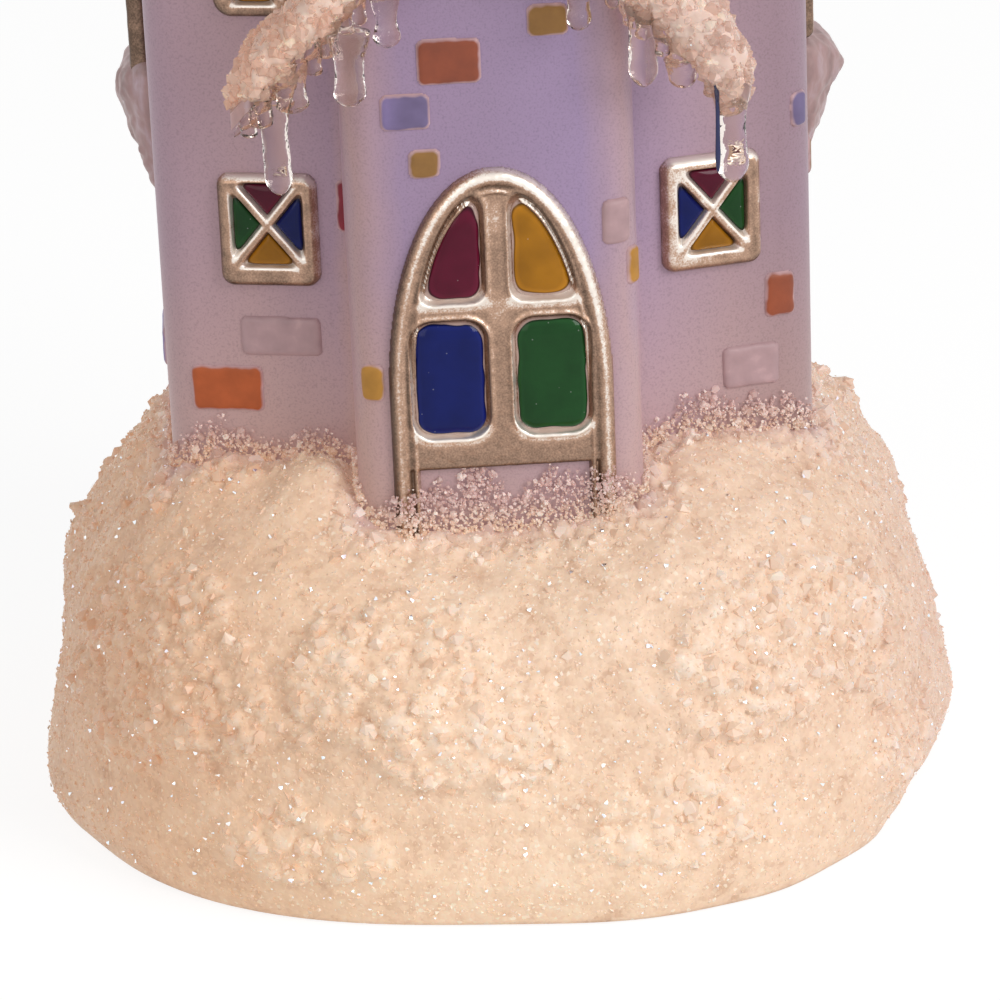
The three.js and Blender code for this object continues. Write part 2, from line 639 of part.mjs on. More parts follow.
function makePlate() {
  const inset = CRUST_THICKNESS + HOUSING_WALL + 2 * FIT;
  const share = moundShare(GROUND_CLEARANCE);
  const outline = new THREE.Shape();
  for (let i = 0; i < MOUND_SIDES; i += 1) {
    const angle = (i / MOUND_SIDES) * 2 * Math.PI;
    const [x, y] = squircle((BASE_WIDTH / 2) * share - inset, (BASE_DEPTH / 2) * share - inset, angle);
    if (i === 0) outline.moveTo(x, y);
    else outline.lineTo(x, y);
  }
  let plate = standing(outline, GROUND_CLEARANCE, PLATE_TOP);
  plate = plate.add(block(
    -WELL_HALF_X - WELL_WALL,
    WELL_HALF_X + WELL_WALL,
    -WELL_HALF_Y - WELL_WALL,
    WELL_HALF_Y + WELL_WALL,
    PLATE_TOP - 1,
    WELL_TOP,
  ));
  plate = plate.subtract(block(-WELL_HALF_X, WELL_HALF_X, -WELL_HALF_Y, WELL_HALF_Y, 0, WELL_CEILING));
  const pinReach = WELL_HALF_X + HINGE_PIN_LENGTH + PIN_PLAY;
  plate = plate.subtract(rodAlongX(-pinReach, pinReach, HINGE_Y, HINGE_Z, HINGE_PIN_RADIUS + PIN_PLAY));
  for (const x of [-SCREW_X, SCREW_X]) {
    for (const y of [-SCREW_Y, SCREW_Y]) {
      plate = plate.subtract(post(x, y, 0, THROUGH, SCREW_RADIUS + PIN_PLAY));
      const pocketTop = GROUND_CLEARANCE + SCREW_HEAD_HEIGHT + 2 * FIT;
      plate = plate.subtract(post(x, y, 0, pocketTop, SCREW_HEAD_RADIUS + FIT));
    }
  }
  for (const x of [-FOOT_X, FOOT_X]) {
    for (const y of [-FOOT_Y, FOOT_Y]) {
      plate = plate.subtract(post(x, y, 0, GROUND_CLEARANCE + FOOT_RECESS, FOOT_RADIUS + FIT));
    }
  }
  const slotHalf = (KNOB_LENGTH + SWITCH_TRAVEL) / 2 + FIT;
  plate = plate.subtract(block(
    SWITCH_X - slotHalf,
    SWITCH_X + slotHalf,
    -KNOB_WIDTH / 2 - FIT,
    KNOB_WIDTH / 2 + FIT,
    0,
    PLATE_TOP + 1,
  ));
  for (const terminal of [wireHole(-1), wireHole(1)]) {
    const { x, y } = terminal;
    plate = plate.subtract(post(x, y, WELL_CEILING - 1, WELL_TOP + 1, WIRE_HOLE_RADIUS));
  }
  return plate;
}

function makeFoot(x, y) {
  return post(x, y, 0, GROUND_CLEARANCE + FOOT_RECESS - FIT, FOOT_RADIUS);
}

function makeScrew(x, y) {
  const bottom = GROUND_CLEARANCE + FIT;
  const head = post(x, y, bottom, bottom + SCREW_HEAD_HEIGHT, SCREW_HEAD_RADIUS);
  const shank = post(x, y, bottom + FIT, PLATE_TOP + SCREW_LENGTH, SCREW_RADIUS);
  const half = SCREW_SLOT / 2;
  const slot = block(x - half, x + half, y - SCREW_HEAD_RADIUS, y + SCREW_HEAD_RADIUS, 0, bottom + FIT);
  return head.add(shank).subtract(slot);
}

// Battery compartment
function makeBatteryDoor() {
  const halfX = WELL_HALF_X - FIT;
  let door = block(-halfX, halfX, -WELL_HALF_Y + FIT, HINGE_Y, DOOR_BOTTOM, DOOR_BOTTOM + DOOR_THICKNESS);
  door = door.add(rodAlongX(-halfX, halfX, HINGE_Y, HINGE_Z, HINGE_RADIUS));
  const pinReach = WELL_HALF_X + HINGE_PIN_LENGTH;
  door = door.add(rodAlongX(-pinReach, pinReach, HINGE_Y, HINGE_Z, HINGE_PIN_RADIUS));
  const notchFloor = DOOR_BOTTOM + DOOR_THICKNESS / 2;
  return door.subtract(block(
    -LATCH_NOTCH,
    LATCH_NOTCH,
    -WELL_HALF_Y,
    -WELL_HALF_Y + LATCH_NOTCH / 2,
    0,
    notchFloor,
  ));
}

function cellX(index) {
  return (index - (CELL_COUNT - 1) / 2) * CELL_PITCH;
}

// Cells alternate: a facing of 1 turns the raised end to the back
function cellFacing(index) {
  return index % 2 === 0 ? 1 : -1;
}

function makeCell(index) {
  const profile = [
    new THREE.Vector2(0, -CELL_LENGTH / 2),
    new THREE.Vector2(CELL_RADIUS, -CELL_LENGTH / 2),
    new THREE.Vector2(CELL_RADIUS, CELL_LENGTH / 2 - NUB_HEIGHT),
    new THREE.Vector2(NUB_RADIUS, CELL_LENGTH / 2 - NUB_HEIGHT),
    new THREE.Vector2(NUB_RADIUS, CELL_LENGTH / 2),
    new THREE.Vector2(0, CELL_LENGTH / 2),
  ];
  const cell = new THREE.LatheGeometry(profile, ROUND_SIDES);
  if (cellFacing(index) < 0) cell.rotateZ(Math.PI);
  cell.translate(cellX(index), 0, CELL_AXIS);
  return solidOf(cell);
}

// A contact strip on the well's end wall, with a spring or a pip for each cell that it meets
function makeContact(cells, end) {
  const wallFace = end * (WELL_HALF_Y - FIT);
  const plateFace = wallFace - end * CONTACT_THICKNESS;
  const reach = CONTACT_ROOM - 2 * FIT - CONTACT_THICKNESS;
  const xs = cells.map(cellX);
  let contact = block(
    Math.min(...xs) - CONTACT_WIDTH / 2,
    Math.max(...xs) + CONTACT_WIDTH / 2,
    Math.min(wallFace, plateFace),
    Math.max(wallFace, plateFace),
    CELL_AXIS - CONTACT_HEIGHT / 2,
    CELL_AXIS + CONTACT_HEIGHT / 2,
  );
  for (const index of cells) {
    const meetsNub = cellFacing(index) === end;
    const wide = meetsNub ? PIP_RADIUS : SPRING_RADIUS;
    const length = reach + CONTACT_THICKNESS / 2;
    const taper = new THREE.CylinderGeometry(wide, wide * SPRING_TAPER, length, SMALL_SIDES);
    if (end < 0) taper.rotateZ(Math.PI);
    const middle = plateFace - (end * (reach - CONTACT_THICKNESS / 2)) / 2;
    taper.translate(cellX(index), middle, CELL_AXIS);
    contact = contact.add(solidOf(taper));
  }
  return contact;
}

// Switch
function makeSwitchSlider() {
  const x = SWITCH_X - SWITCH_TRAVEL / 2;
  const flangeBottom = PLATE_TOP + FIT;
  const flangeTop = flangeBottom + FLANGE_THICKNESS;
  const knob = block(
    x - KNOB_LENGTH / 2,
    x + KNOB_LENGTH / 2,
    -KNOB_WIDTH / 2,
    KNOB_WIDTH / 2,
    KNOB_GROUND_GAP,
    flangeTop,
  );
  const flange = block(
    x - KNOB_LENGTH / 2 - FLANGE_MARGIN,
    x + KNOB_LENGTH / 2 + FLANGE_MARGIN,
    -KNOB_WIDTH / 2 - FLANGE_MARGIN,
    KNOB_WIDTH / 2 + FLANGE_MARGIN,
    flangeBottom,
    flangeTop,
  );
  return knob.add(flange);
}

function makeSwitchBody() {
  const roomX = (KNOB_LENGTH + SWITCH_TRAVEL) / 2 + FLANGE_MARGIN + FIT;
  const roomY = KNOB_WIDTH / 2 + FLANGE_MARGIN + FIT;
  const bottom = PLATE_TOP + FIT;
  const shell = block(
    SWITCH_X - roomX - SWITCH_WALL,
    SWITCH_X + roomX + SWITCH_WALL,
    -roomY - SWITCH_WALL,
    roomY + SWITCH_WALL,
    bottom,
    bottom + SWITCH_BODY_HEIGHT,
  );
  const room = block(
    SWITCH_X - roomX,
    SWITCH_X + roomX,
    -roomY,
    roomY,
    bottom - 1,
    bottom + FLANGE_THICKNESS + FIT,
  );
  return shell.subtract(room);
}

// Light
function makeBoard() {
  const halfX = BOARD_LENGTH / 2;
  const halfY = BOARD_WIDTH / 2;
  return block(-halfX, halfX, -halfY, halfY, BOARD_BOTTOM, BOARD_TOP);
}

function makeLed() {
  const profile = new THREE.Path();
  profile.moveTo(0, 0);
  profile.lineTo(LED_RADIUS, 0);
  profile.lineTo(LED_RADIUS, LED_HEIGHT - LED_RADIUS);
  profile.absarc(0, LED_HEIGHT - LED_RADIUS, LED_RADIUS, 0, Math.PI / 2, false);
  const led = new THREE.LatheGeometry(profile.getPoints(CORNER_STEPS / 2), SMALL_SIDES);
  led.rotateX(Math.PI / 2);
  led.translate(0, 0, BOARD_TOP + FIT);
  return solidOf(led);
}

function makeDiffuser() {
  const outside = LIGHT_HOLE_RADIUS;
  const inside = outside - DIFFUSER_WALL;
  const profile = new THREE.Path();
  profile.absellipse(0, DIFFUSER_WALL, outside, DIFFUSER_HEIGHT - DIFFUSER_WALL, Math.PI / 2, 0, true);
  profile.lineTo(outside + DIFFUSER_FLANGE, DIFFUSER_WALL);
  profile.lineTo(outside + DIFFUSER_FLANGE, 0);
  profile.lineTo(inside, 0);
  profile.absellipse(0, 0, inside, DIFFUSER_HEIGHT - DIFFUSER_WALL, 0, Math.PI / 2, false);
  const points = profile.getPoints(CORNER_STEPS / 2);
  points[0].x = 0;
  points.at(-1).x = 0;
  const diffuser = new THREE.LatheGeometry(points.reverse(), ROUND_SIDES);
  diffuser.rotateX(Math.PI / 2);
  diffuser.translate(0, 0, HOUSING_TOP + FIT);
  return solidOf(diffuser);
}

// Wires end a fit short of what they meet
function wireHole(end) {
  const edgeCell = end < 0 ? CELL_COUNT - 1 : 0;
  return { x: cellX(edgeCell), y: end * (WELL_HALF_Y - FIT - WIRE_RADIUS) };
}

function makeWire(points) {
  const path = new THREE.CatmullRomCurve3(points, false, 'centripetal');
  const section = new THREE.Shape();
  section.absarc(0, 0, WIRE_RADIUS, 0, 2 * Math.PI, false);
  const steps = Math.ceil(path.getLength() / (WIRE_STEP * WIRE_RADIUS));
  const curveSegments = WIRE_SIDES / 2;
  return solidOf(new THREE.ExtrudeGeometry(section, { steps, extrudePath: path, curveSegments }));
}


function blackWire() {
  const { x, y } = wireHole(-1);
  return makeWire([
    new THREE.Vector3(x, y, TERMINAL_TOP),
    new THREE.Vector3(x, y, WELL_TOP + WIRE_RISE),
    new THREE.Vector3(0, y * WIRE_INWARD, (WELL_TOP + BOARD_BOTTOM) / 2),
    new THREE.Vector3(-POST_X / 2, -BOARD_WIDTH / 3, BOARD_BOTTOM - WIRE_DROP),
    new THREE.Vector3(-POST_X / 2, -BOARD_WIDTH / 3, BOARD_BOTTOM - FIT),
  ]);
}

function batteryWire() {
  const { x, y } = wireHole(1);
  return makeWire([
    new THREE.Vector3(x, y, TERMINAL_TOP),
    new THREE.Vector3(x, y, WELL_TOP + WIRE_RISE),
    new THREE.Vector3(x / 2, y * WIRE_INWARD, WELL_TOP + WIRE_LOFT),
    new THREE.Vector3(SWITCH_X / 2, y / 3, WELL_TOP + WIRE_LOFT),
    new THREE.Vector3(SWITCH_X, WIRE_PITCH / 2, WELL_TOP),
    new THREE.Vector3(SWITCH_X, WIRE_PITCH / 2, SWITCH_TOP),
  ]);
}

function switchWire() {
  return makeWire([
    new THREE.Vector3(SWITCH_X, -WIRE_PITCH / 2, SWITCH_TOP),
    new THREE.Vector3(SWITCH_X, -WIRE_PITCH / 2, WELL_TOP + WIRE_LOFT),
    new THREE.Vector3(SWITCH_X / 2, 0, BOARD_BOTTOM - WIRE_DROP - WIRE_RADIUS),
    new THREE.Vector3(POST_X / 2, 0, BOARD_BOTTOM - WIRE_DROP),
    new THREE.Vector3(POST_X / 2, 0, BOARD_BOTTOM - FIT),
  ]);
}

// Church body: one moulded shell of nave, bay and tower
function gable(halfSpan, eaves, pitch, lift, y0, y1) {
  const reach = halfSpan * 1.5;
  const ridge = eaves + halfSpan * Math.tan(pitch) + lift;
  const shape = new THREE.Shape();
  shape.moveTo(-reach, 0);
  shape.lineTo(reach, 0);
  shape.lineTo(reach, ridge - reach * Math.tan(pitch));
  shape.lineTo(0, ridge);
  shape.lineTo(-reach, ridge - reach * Math.tan(pitch));
  return lying(shape, y0, y1);
}

function naveGable(lift) {
  return gable(NAVE_HALF_WIDTH, NAVE_EAVES, NAVE_PITCH, lift, -THROUGH / 2, THROUGH / 2);
}

function porchGable(lift, y0, y1) {
  return gable(PORCH_HALF_SPAN, PORCH_EAVES, PORCH_PITCH, lift, y0, y1);
}

// A brick runs deep enough to follow a rounded corner, and is cut to the relief later
function makeBrick({ wall, x, z, width, height }) {
  const brick = new THREE.BoxGeometry(width, BRICK_REACH + BRICK_ROOT, height);
  brick.translate(x, (BRICK_ROOT - BRICK_REACH) / 2, z);
  brick.applyMatrix4(wallMatrix(wall));
  return solidOf(brick);
}

function makeBody() {
  const nave = standing(roundedOutline(naveCorners), BODY_BOTTOM, THROUGH).intersect(naveGable(0));
  const tower = standing(roundedOutline(towerCorners), BODY_BOTTOM, TOWER_TOP);
  const towerAbove = standing(roundedOutline(towerCorners), TOWER_SHELF, TOWER_TOP);
  const naveRoom = standing(roundedOutline(naveCorners, -WALL), 0, THROUGH).subtract(towerAbove);
  const towerRoom = standing(roundedOutline(towerCorners, -WALL), 0, THROUGH);
  const relief = bodyFootprint(BRICK_RELIEF, BODY_BOTTOM, TOWER_TOP);
  let body = nave.add(tower).subtract(naveRoom).subtract(towerRoom);
  for (const brick of BRICKS) {
    body = body.add(makeBrick(brick).intersect(relief));
  }
  return body;
}

// Door
class MouldingPath extends THREE.Curve {
  getPoint(t) {
    const leg = ARCH_SPRING - MOULDING_FOOT;
    const arch = (Math.PI * (ARCH_HALF_WIDTH + ARCH_RISE)) / 2;
    const along = t * (2 * leg + arch);
    if (along < leg) return new THREE.Vector3(-ARCH_HALF_WIDTH, 0, MOULDING_FOOT + along);
    if (along > leg + arch) {
      return new THREE.Vector3(ARCH_HALF_WIDTH, 0, ARCH_SPRING - (along - leg - arch));
    }
    const angle = Math.PI * (1 - (along - leg) / arch);
    return new THREE.Vector3(
      ARCH_HALF_WIDTH * Math.cos(angle),
      0,
      ARCH_SPRING + ARCH_RISE * Math.sin(angle),
    );
  }
}

// The door's outline, moved inwards from the middle of the moulding
function doorOutline(inset, foot) {
  const half = ARCH_HALF_WIDTH - inset;
  const shape = new THREE.Shape();
  shape.moveTo(-half, foot);
  shape.lineTo(half, foot);
  shape.absellipse(0, ARCH_SPRING, half, ARCH_RISE - inset, 0, Math.PI, false);
  return shape;
}

function makeMoulding() {
  const section = new THREE.Shape();
  section.absellipse(0, 0, MOULDING_RELIEF, MOULDING_WIDTH / 2, 0, 2 * Math.PI, false);
  const tube = new THREE.ExtrudeGeometry(section, {
    steps: MOULDING_STEPS,
    extrudePath: new MouldingPath(),
    curveSegments: CORNER_STEPS + 1,
  });
  return solidOf(tube).subtract(block(-THROUGH, THROUGH, -FIT, THROUGH, 0, THROUGH));
}

function paneOutlines(shrink) {
  const inner = MULLION_WIDTH / 2 + shrink;
  const inset = PANE_INSET + shrink;
  const lowTop = DOOR_RAIL - RAIL_WIDTH / 2 - shrink;
  const lowBottom = PANEL_FOOT + SILL_WIDTH + shrink;
  const highBottom = DOOR_RAIL + RAIL_WIDTH / 2 + shrink;
  const half = ARCH_HALF_WIDTH - inset;
  const rise = ARCH_RISE - inset;
  const low = roundedRectangle(
    half - inner,
    lowTop - lowBottom,
    PANE_CORNER,
    0,
    (half + inner) / 2,
    (lowTop + lowBottom) / 2,
  );
  const cut = PANE_CORNER / 2;
  const startAngle = Math.asin((highBottom + cut - ARCH_SPRING) / rise);
  const endAngle = Math.acos((inner + PANE_CORNER) / half);
  const high = new THREE.Shape();
  high.moveTo(inner, highBottom + cut);
  high.lineTo(inner + cut, highBottom);
  high.lineTo(half * Math.cos(startAngle) - cut, highBottom);
  high.absellipse(0, ARCH_SPRING, half, rise, startAngle, endAngle, false);
  const head = ARCH_SPRING + rise * Math.sin(endAngle);
  high.quadraticCurveTo(inner, head, inner, head - PANE_HEAD);
  return { low, high };
}

function mirrored(solid) {
  return solid.mirror([1, 0, 0]);
}

function makeDoorFrame() {
  const { low, high } = paneOutlines(0);
  const inset = MOULDING_WIDTH / 4;
  let frame = facing(doorOutline(inset, PANEL_FOOT), FIT, PANEL_RELIEF).add(makeMoulding());
  for (const shape of [low, high]) {
    const opening = facing(shape, 0, PANEL_RELIEF + 1);
    frame = frame.subtract(opening).subtract(mirrored(opening));
  }
  return frame;
}

function placeDoor() {
  const door = wallGroup('bay', DOOR_CENTRE, 0);
  place('door_frame', makeDoorFrame(), gold(), door);
  const { low, high } = paneOutlines(PANE_GAP);
  const lowPane = facing(low, FIT, PANE_RELIEF);
  const highPane = facing(high, FIT, PANE_RELIEF);
  place('door_pane_wine', mirrored(highPane), resin(0x5a1937), door);
  place('door_pane_amber', highPane, resin(0xa07323), door);
  place('door_pane_blue', mirrored(lowPane), resin(0x19236e), door);
  place('door_pane_green', lowPane, resin(0x23552d), door);
}

// Windows: a bar runs through a point at an angle; grow widens it
function makeBar(x, z, angle, grow, from, to, reach = THROUGH / 4) {
  const shape = roundedRectangle(2 * reach, FRAME_BAR + 2 * grow, 0);
  const bar = extruded(shape, to - from);
  bar.rotateX(Math.PI / 2);
  bar.translate(0, -from, 0);
  bar.rotateY(-angle);
  bar.translate(x, 0, z);
  return solidOf(bar);
}

function placeWindow(name, group, outline, bars, relief) {
  const outer = facing(outline(0), FIT, relief);
  const inner = facing(outline(-FRAME_BAR), 0, THROUGH);
  let frame = outer.subtract(inner);
  let panes = facing(outline(-FRAME_BAR - PANE_GAP), FIT + BACKING / 2, relief - FIT);
  for (const { x, z, angle } of bars) {
    const bar = makeBar(x, z, angle, 0, FIT + REBATE, relief).intersect(outer);
    frame = frame.add(bar);
    panes = panes.subtract(makeBar(x, z, angle, PANE_GAP, 0, THROUGH));
  }
  const backing = facing(outline(-FRAME_BAR - PANE_GAP), FIT, FIT + BACKING);
  place(`${name}_frame`, frame, gold(), group);
  place(`${name}_panes`, panes.add(backing), resin(0x6a3a5a), group);
}

function placeSquareWindow(
  name,
  wall,
  x,
  z,
  width = SQUARE_WINDOW_WIDTH,
  corner = SQUARE_WINDOW_CORNER,
) {
  const slope = Math.atan2(SQUARE_WINDOW_HEIGHT - 2 * FRAME_BAR, width - 2 * FRAME_BAR);
  const outline = (grow) => roundedRectangle(width, SQUARE_WINDOW_HEIGHT, corner, grow);
  const bars = [{ x: 0, z: 0, angle: slope }, { x: 0, z: 0, angle: -slope }];
  placeWindow(name, wallGroup(wall, x, z), outline, bars, FRAME_RELIEF);
}

function placeArchedWindow(name, wall, x, sill, width, height, relief) {
  const outline = (grow) => archedOutline(width, height, grow);
  const bars = [
    { x: 0, z: 0, angle: Math.PI / 2 },
    { x: 0, z: height - width / 2, angle: 0 },
    { x: 0, z: (height - width / 2) / 2, angle: 0 },
  ];
  placeWindow(name, wallGroup(wall, x, sill), outline, bars, relief);
}

// Porch canopy, its snow and its ice
function porchPlan(grow, z0, z1) {
  const sheet = block(
    -PORCH_HALF_SPAN - grow,
    PORCH_HALF_SPAN + grow,
    PORCH_FRONT - grow,
    PORCH_FRONT + PORCH_DEPTH,
    z0,
    z1,
  );
  return sheet.subtract(bodyFootprint(FIT, 0, THROUGH));
}

function makePorchRoof() {
  const slab = porchGable(PORCH_THICKNESS, -THROUGH, THROUGH).subtract(porchGable(0, -THROUGH, THROUGH));
  return slab.intersect(porchPlan(0, 0, THROUGH));
}

function makePorchSnow() {
  const low = PORCH_THICKNESS + 2 * FIT;
  const slab = porchGable(low + PORCH_SNOW_DEPTH, -THROUGH, THROUGH)
    .subtract(porchGable(low, -THROUGH, THROUGH));
  return slab.intersect(porchPlan(PORCH_SNOW_OVERHANG, 0, THROUGH));
}

function makeIcicle(x, y, top, tip, radius) {
  const length = top - tip;
  const profile = [
    new THREE.Vector2(0, 0),
    new THREE.Vector2(radius * ICICLE_NECK, 0),
    new THREE.Vector2(radius * ICICLE_BULB, length / 10),
    new THREE.Vector2(radius * ICICLE_NECK, length / 3),
    new THREE.Vector2(radius * ICICLE_SHOULDER, (length * 2) / 3),
    new THREE.Vector2(radius, length),
    new THREE.Vector2(0, length),
  ];
  const icicle = new THREE.LatheGeometry(profile, SMALL_SIDES / 2);
  icicle.rotateX(Math.PI / 2);
  icicle.translate(x, y, tip);
  return solidOf(icicle);
}

// Icicles under the porch: share of its half span, of the usual length and of the usual radius
const PORCH_ICICLES = [
  { along: -0.885, hang: 0.51, thick: 0.95 },
  { along: -0.82, hang: 1.44, thick: 1.2 },
  { along: -0.733, hang: 0.59, thick: 1 },
  { along: -0.531, hang: 1.33, thick: 1.1 },
  { along: -0.374, hang: 1.14, thick: 1.1 },
  { along: -0.154, hang: 1.05, thick: 1 },
  { along: 0.128, hang: 0.95, thick: 1 },
  { along: 0.333, hang: 1, thick: 1.1 },
  { along: 0.6, hang: 1.05, thick: 1 },
  { along: 0.782, hang: 0.43, thick: 0.9 },
  { along: 0.954, hang: 1.17, thick: 1.2 },
];

function makePorchIcicles() {
  const y0 = PORCH_FRONT + FIT;
  const y1 = y0 + ICICLE_RAIL;
  let ice = porchGable(-FIT, y0, y1).subtract(porchGable(-FIT - ICICLE_RAIL, -THROUGH, THROUGH));
  ice = ice.intersect(block(-PORCH_HALF_SPAN, PORCH_HALF_SPAN, -THROUGH, THROUGH, 0, THROUGH));
  const ridge = PORCH_EAVES + PORCH_HALF_SPAN * Math.tan(PORCH_PITCH);
  for (const { along, hang, thick } of PORCH_ICICLES) {
    const x = along * PORCH_HALF_SPAN;
    const radius = thick * ICICLE_RADIUS;
    const under = ridge - (Math.abs(x) + radius) * Math.tan(PORCH_PITCH) - 2 * FIT;
    ice = ice.add(makeIcicle(x, (y0 + y1) / 2, under, under - hang * ICICLE_LENGTH, radius));
  }
  return ice;
}

// Nave roof
function roofSlab(low, high, grow) {
  const plan = standing(roundedOutline(naveCorners, grow), 0, THROUGH);
  const tower = standing(roundedOutline(towerCorners, FIT), 0, THROUGH);
  return naveGable(high).subtract(naveGable(low)).intersect(plan).subtract(tower);
}

function makeNaveRoof() {
  return roofSlab(FIT, FIT + ROOF_THICKNESS, ROOF_OVERHANG);
}

function makeNaveRoofSnow() {
  const low = 2 * FIT + ROOF_THICKNESS;
  return roofSlab(low, low + ROOF_SNOW_DEPTH, ROOF_OVERHANG - ROOF_SNOW_SETBACK);
}

// Belfry and spire, centred over the tower
function makeBelfry() {
  const cornice = standing(
    roundedOutline(towerCorners, CORNICE_OVERHANG),
    BELFRY_BOTTOM,
    BELFRY_BOTTOM + CORNICE_HEIGHT,
  );
  const room = standing(roundedOutline(towerCorners, -BELFRY_SETBACK), BELFRY_BOTTOM, BELFRY_TOP);
  const hollow = standing(
    roundedOutline(towerCorners, -BELFRY_SETBACK - BELFRY_WALL),
    0,
    BELFRY_TOP - BELFRY_WALL,
  );
  let belfry = cornice.add(room).subtract(hollow);
  const arch = archedOutline(BELFRY_ARCH_WIDTH, BELFRY_ARCH_HEIGHT);
  for (const turn of [0, Math.PI / 2]) {
    const opening = extruded(arch, THROUGH / 2);
    opening.rotateX(Math.PI / 2);
    opening.translate(0, THROUGH / 4, 0);
    opening.rotateZ(turn);
    opening.translate(0, TOWER_MIDDLE, BELFRY_BOTTOM + CORNICE_HEIGHT + BELFRY_ARCH_SILL);
    belfry = belfry.subtract(solidOf(opening));
  }
  return belfry;
}

function pyramid(half, bottom, height) {
  const cone = new THREE.ConeGeometry(half * Math.SQRT2, height, 4);
  cone.rotateY(Math.PI / 4);
  cone.rotateX(Math.PI / 2);
  cone.translate(0, TOWER_MIDDLE, bottom + height / 2);
  return solidOf(cone);
}

// A pyramid like the spire, larger or smaller by a wall measured level
function spireShape(grow) {
  const height = (SPIRE_HEIGHT * (SPIRE_HALF + grow)) / SPIRE_HALF;
  return pyramid(SPIRE_HALF + grow, SPIRE_BOTTOM, height);
}

function makeSpire() {
  return spireShape(0).subtract(spireShape(-SPIRE_WALL));
}

const SPIRE_SNOW_TOP = SPIRE_BOTTOM + SPIRE_HEIGHT + (SPIRE_HEIGHT * SPIRE_SNOW_DEPTH) / SPIRE_HALF / 2;

function makeSpireSnow() {
  const layer = spireShape(SPIRE_SNOW_DEPTH).subtract(spireShape(FIT));
  return layer.intersect(block(
    -THROUGH,
    THROUGH,
    -THROUGH,
    THROUGH,
    SPIRE_BOTTOM + SPIRE_SNOW_START,
    SPIRE_SNOW_TOP,
  ));
}

function makeCross() {
  const bottom = SPIRE_SNOW_TOP + FIT;
  const half = CROSS_BAR / 2;
  const upright = block(
    -half,
    half,
    TOWER_MIDDLE - half,
    TOWER_MIDDLE + half,
    bottom,
    bottom + CROSS_HEIGHT,
  );
  const armZ = bottom + CROSS_HEIGHT * CROSS_ARM_SHARE;
  const arm = block(
    -CROSS_ARM / 2,
    CROSS_ARM / 2,
    TOWER_MIDDLE - half,
    TOWER_MIDDLE + half,
    armZ - half,
    armZ + half,
  );
  return upright.add(arm);
}

// Snow with ice on the sill of a side window
function makeSillSnow() {
  const lump = new THREE.SphereGeometry(1, SMALL_SIDES, SMALL_SIDES / 2);
  lump.rotateX(Math.PI / 2);
  lump.scale(SILL_SNOW_WIDTH / 2, SILL_SNOW_DEPTH, SILL_SNOW_HEIGHT / 2);
  const middle = -SILL_SNOW_HEIGHT / 2 - FIT;
  lump.translate(0, 0, middle);
  let mass = solidOf(lump);
  const tip = middle - SILL_SNOW_HEIGHT * SILL_ICE_DROP;
  for (const share of SILL_ICE_PLACES) {
    const x = (share * SILL_SNOW_WIDTH) / 2;
    mass = mass.add(makeIcicle(x, -SILL_SNOW_DEPTH / 2, middle, tip, SILL_ICE_RADIUS));
  }
  return mass.subtract(block(-THROUGH, THROUGH, -FIT, THROUGH, -THROUGH, THROUGH));
}

// Assembly
place('snow_mound', makeMound(), snow());
place('base_housing', makeHousing(), whitePlastic());
place('bottom_plate', makePlate(), blackPlastic());
place('battery_door', makeBatteryDoor(), blackPlastic());
for (const [side, x] of [['left', -1], ['right', 1]]) {
  for (const [end, y] of [['front', -1], ['back', 1]]) {
    place(`foot_${end}_${side}`, makeFoot(x * FOOT_X, y * FOOT_Y), rubber());
    place(`screw_${end}_${side}`, makeScrew(x * SCREW_X, y * SCREW_Y), steel());
  }
}
for (let index = 0; index < CELL_COUNT; index += 1) {
  place(`battery_${index + 1}`, makeCell(index), finish(0x3a5f86, 0.35, 0.2));
}
place('contact_front_bridge', makeContact([0, 1], -1), steel());
place('contact_front_terminal', makeContact([2], -1), steel());
place('contact_back_bridge', makeContact([1, 2], 1), steel());
place('contact_back_terminal', makeContact([0], 1), steel());
place('switch_slider', makeSwitchSlider(), whitePlastic());
place('switch_body', makeSwitchBody(), blackPlastic());
place('circuit_board', makeBoard(), finish(0x1f6b3a, 0.5));
place('led', makeLed(), finish(0xd9c8ff, 0.1, 0, 0.7));
place('light_diffuser', makeDiffuser(), finish(0xf0ecf6, 0.5, 0, 0.8));
place('wire_black', blackWire(), finish(0x16161a, 0.5));
place('wire_red_battery', batteryWire(), finish(0xa01f1f, 0.5));
place('wire_red_switch', switchWire(), finish(0xa01f1f, 0.5));
place('church_body', makeBody(), frosted());
placeDoor();
placeSquareWindow('window_left', 'leftWing', WINDOW_SHIFT - LOWER_WINDOW_ALONG, LOWER_WINDOW_Z);
placeSquareWindow('window_right', 'rightWing', WINDOW_SHIFT + LOWER_WINDOW_ALONG, LOWER_WINDOW_Z);
for (const [side, wall, sign] of [['left', 'leftWing', -1], ['right', 'rightWing', 1]]) {
  placeSquareWindow(
    `window_upper_${side}`,
    wall,
    sign * UPPER_WINDOW_ALONG,
    UPPER_WINDOW_Z,
    UPPER_WINDOW_WIDTH,
    UPPER_WINDOW_CORNER,
  );
}
for (const [side, wall] of [['left', 'leftSide'], ['right', 'rightSide']]) {
  placeArchedWindow(
    `window_side_${side}`,
    wall,
    0,
    SIDE_WINDOW_SILL,
    SIDE_WINDOW_WIDTH,
    SIDE_WINDOW_HEIGHT,
    SIDE_WINDOW_RELIEF,
  );
  place(`sill_snow_${side}`, makeSillSnow(), snow(), wallGroup(wall, 0, SIDE_WINDOW_SILL));
}
placeArchedWindow(
  'window_back',
  'back',
  0,
  BACK_WINDOW_SILL,
  BACK_WINDOW_WIDTH,
  BACK_WINDOW_HEIGHT,
  FRAME_RELIEF,
);
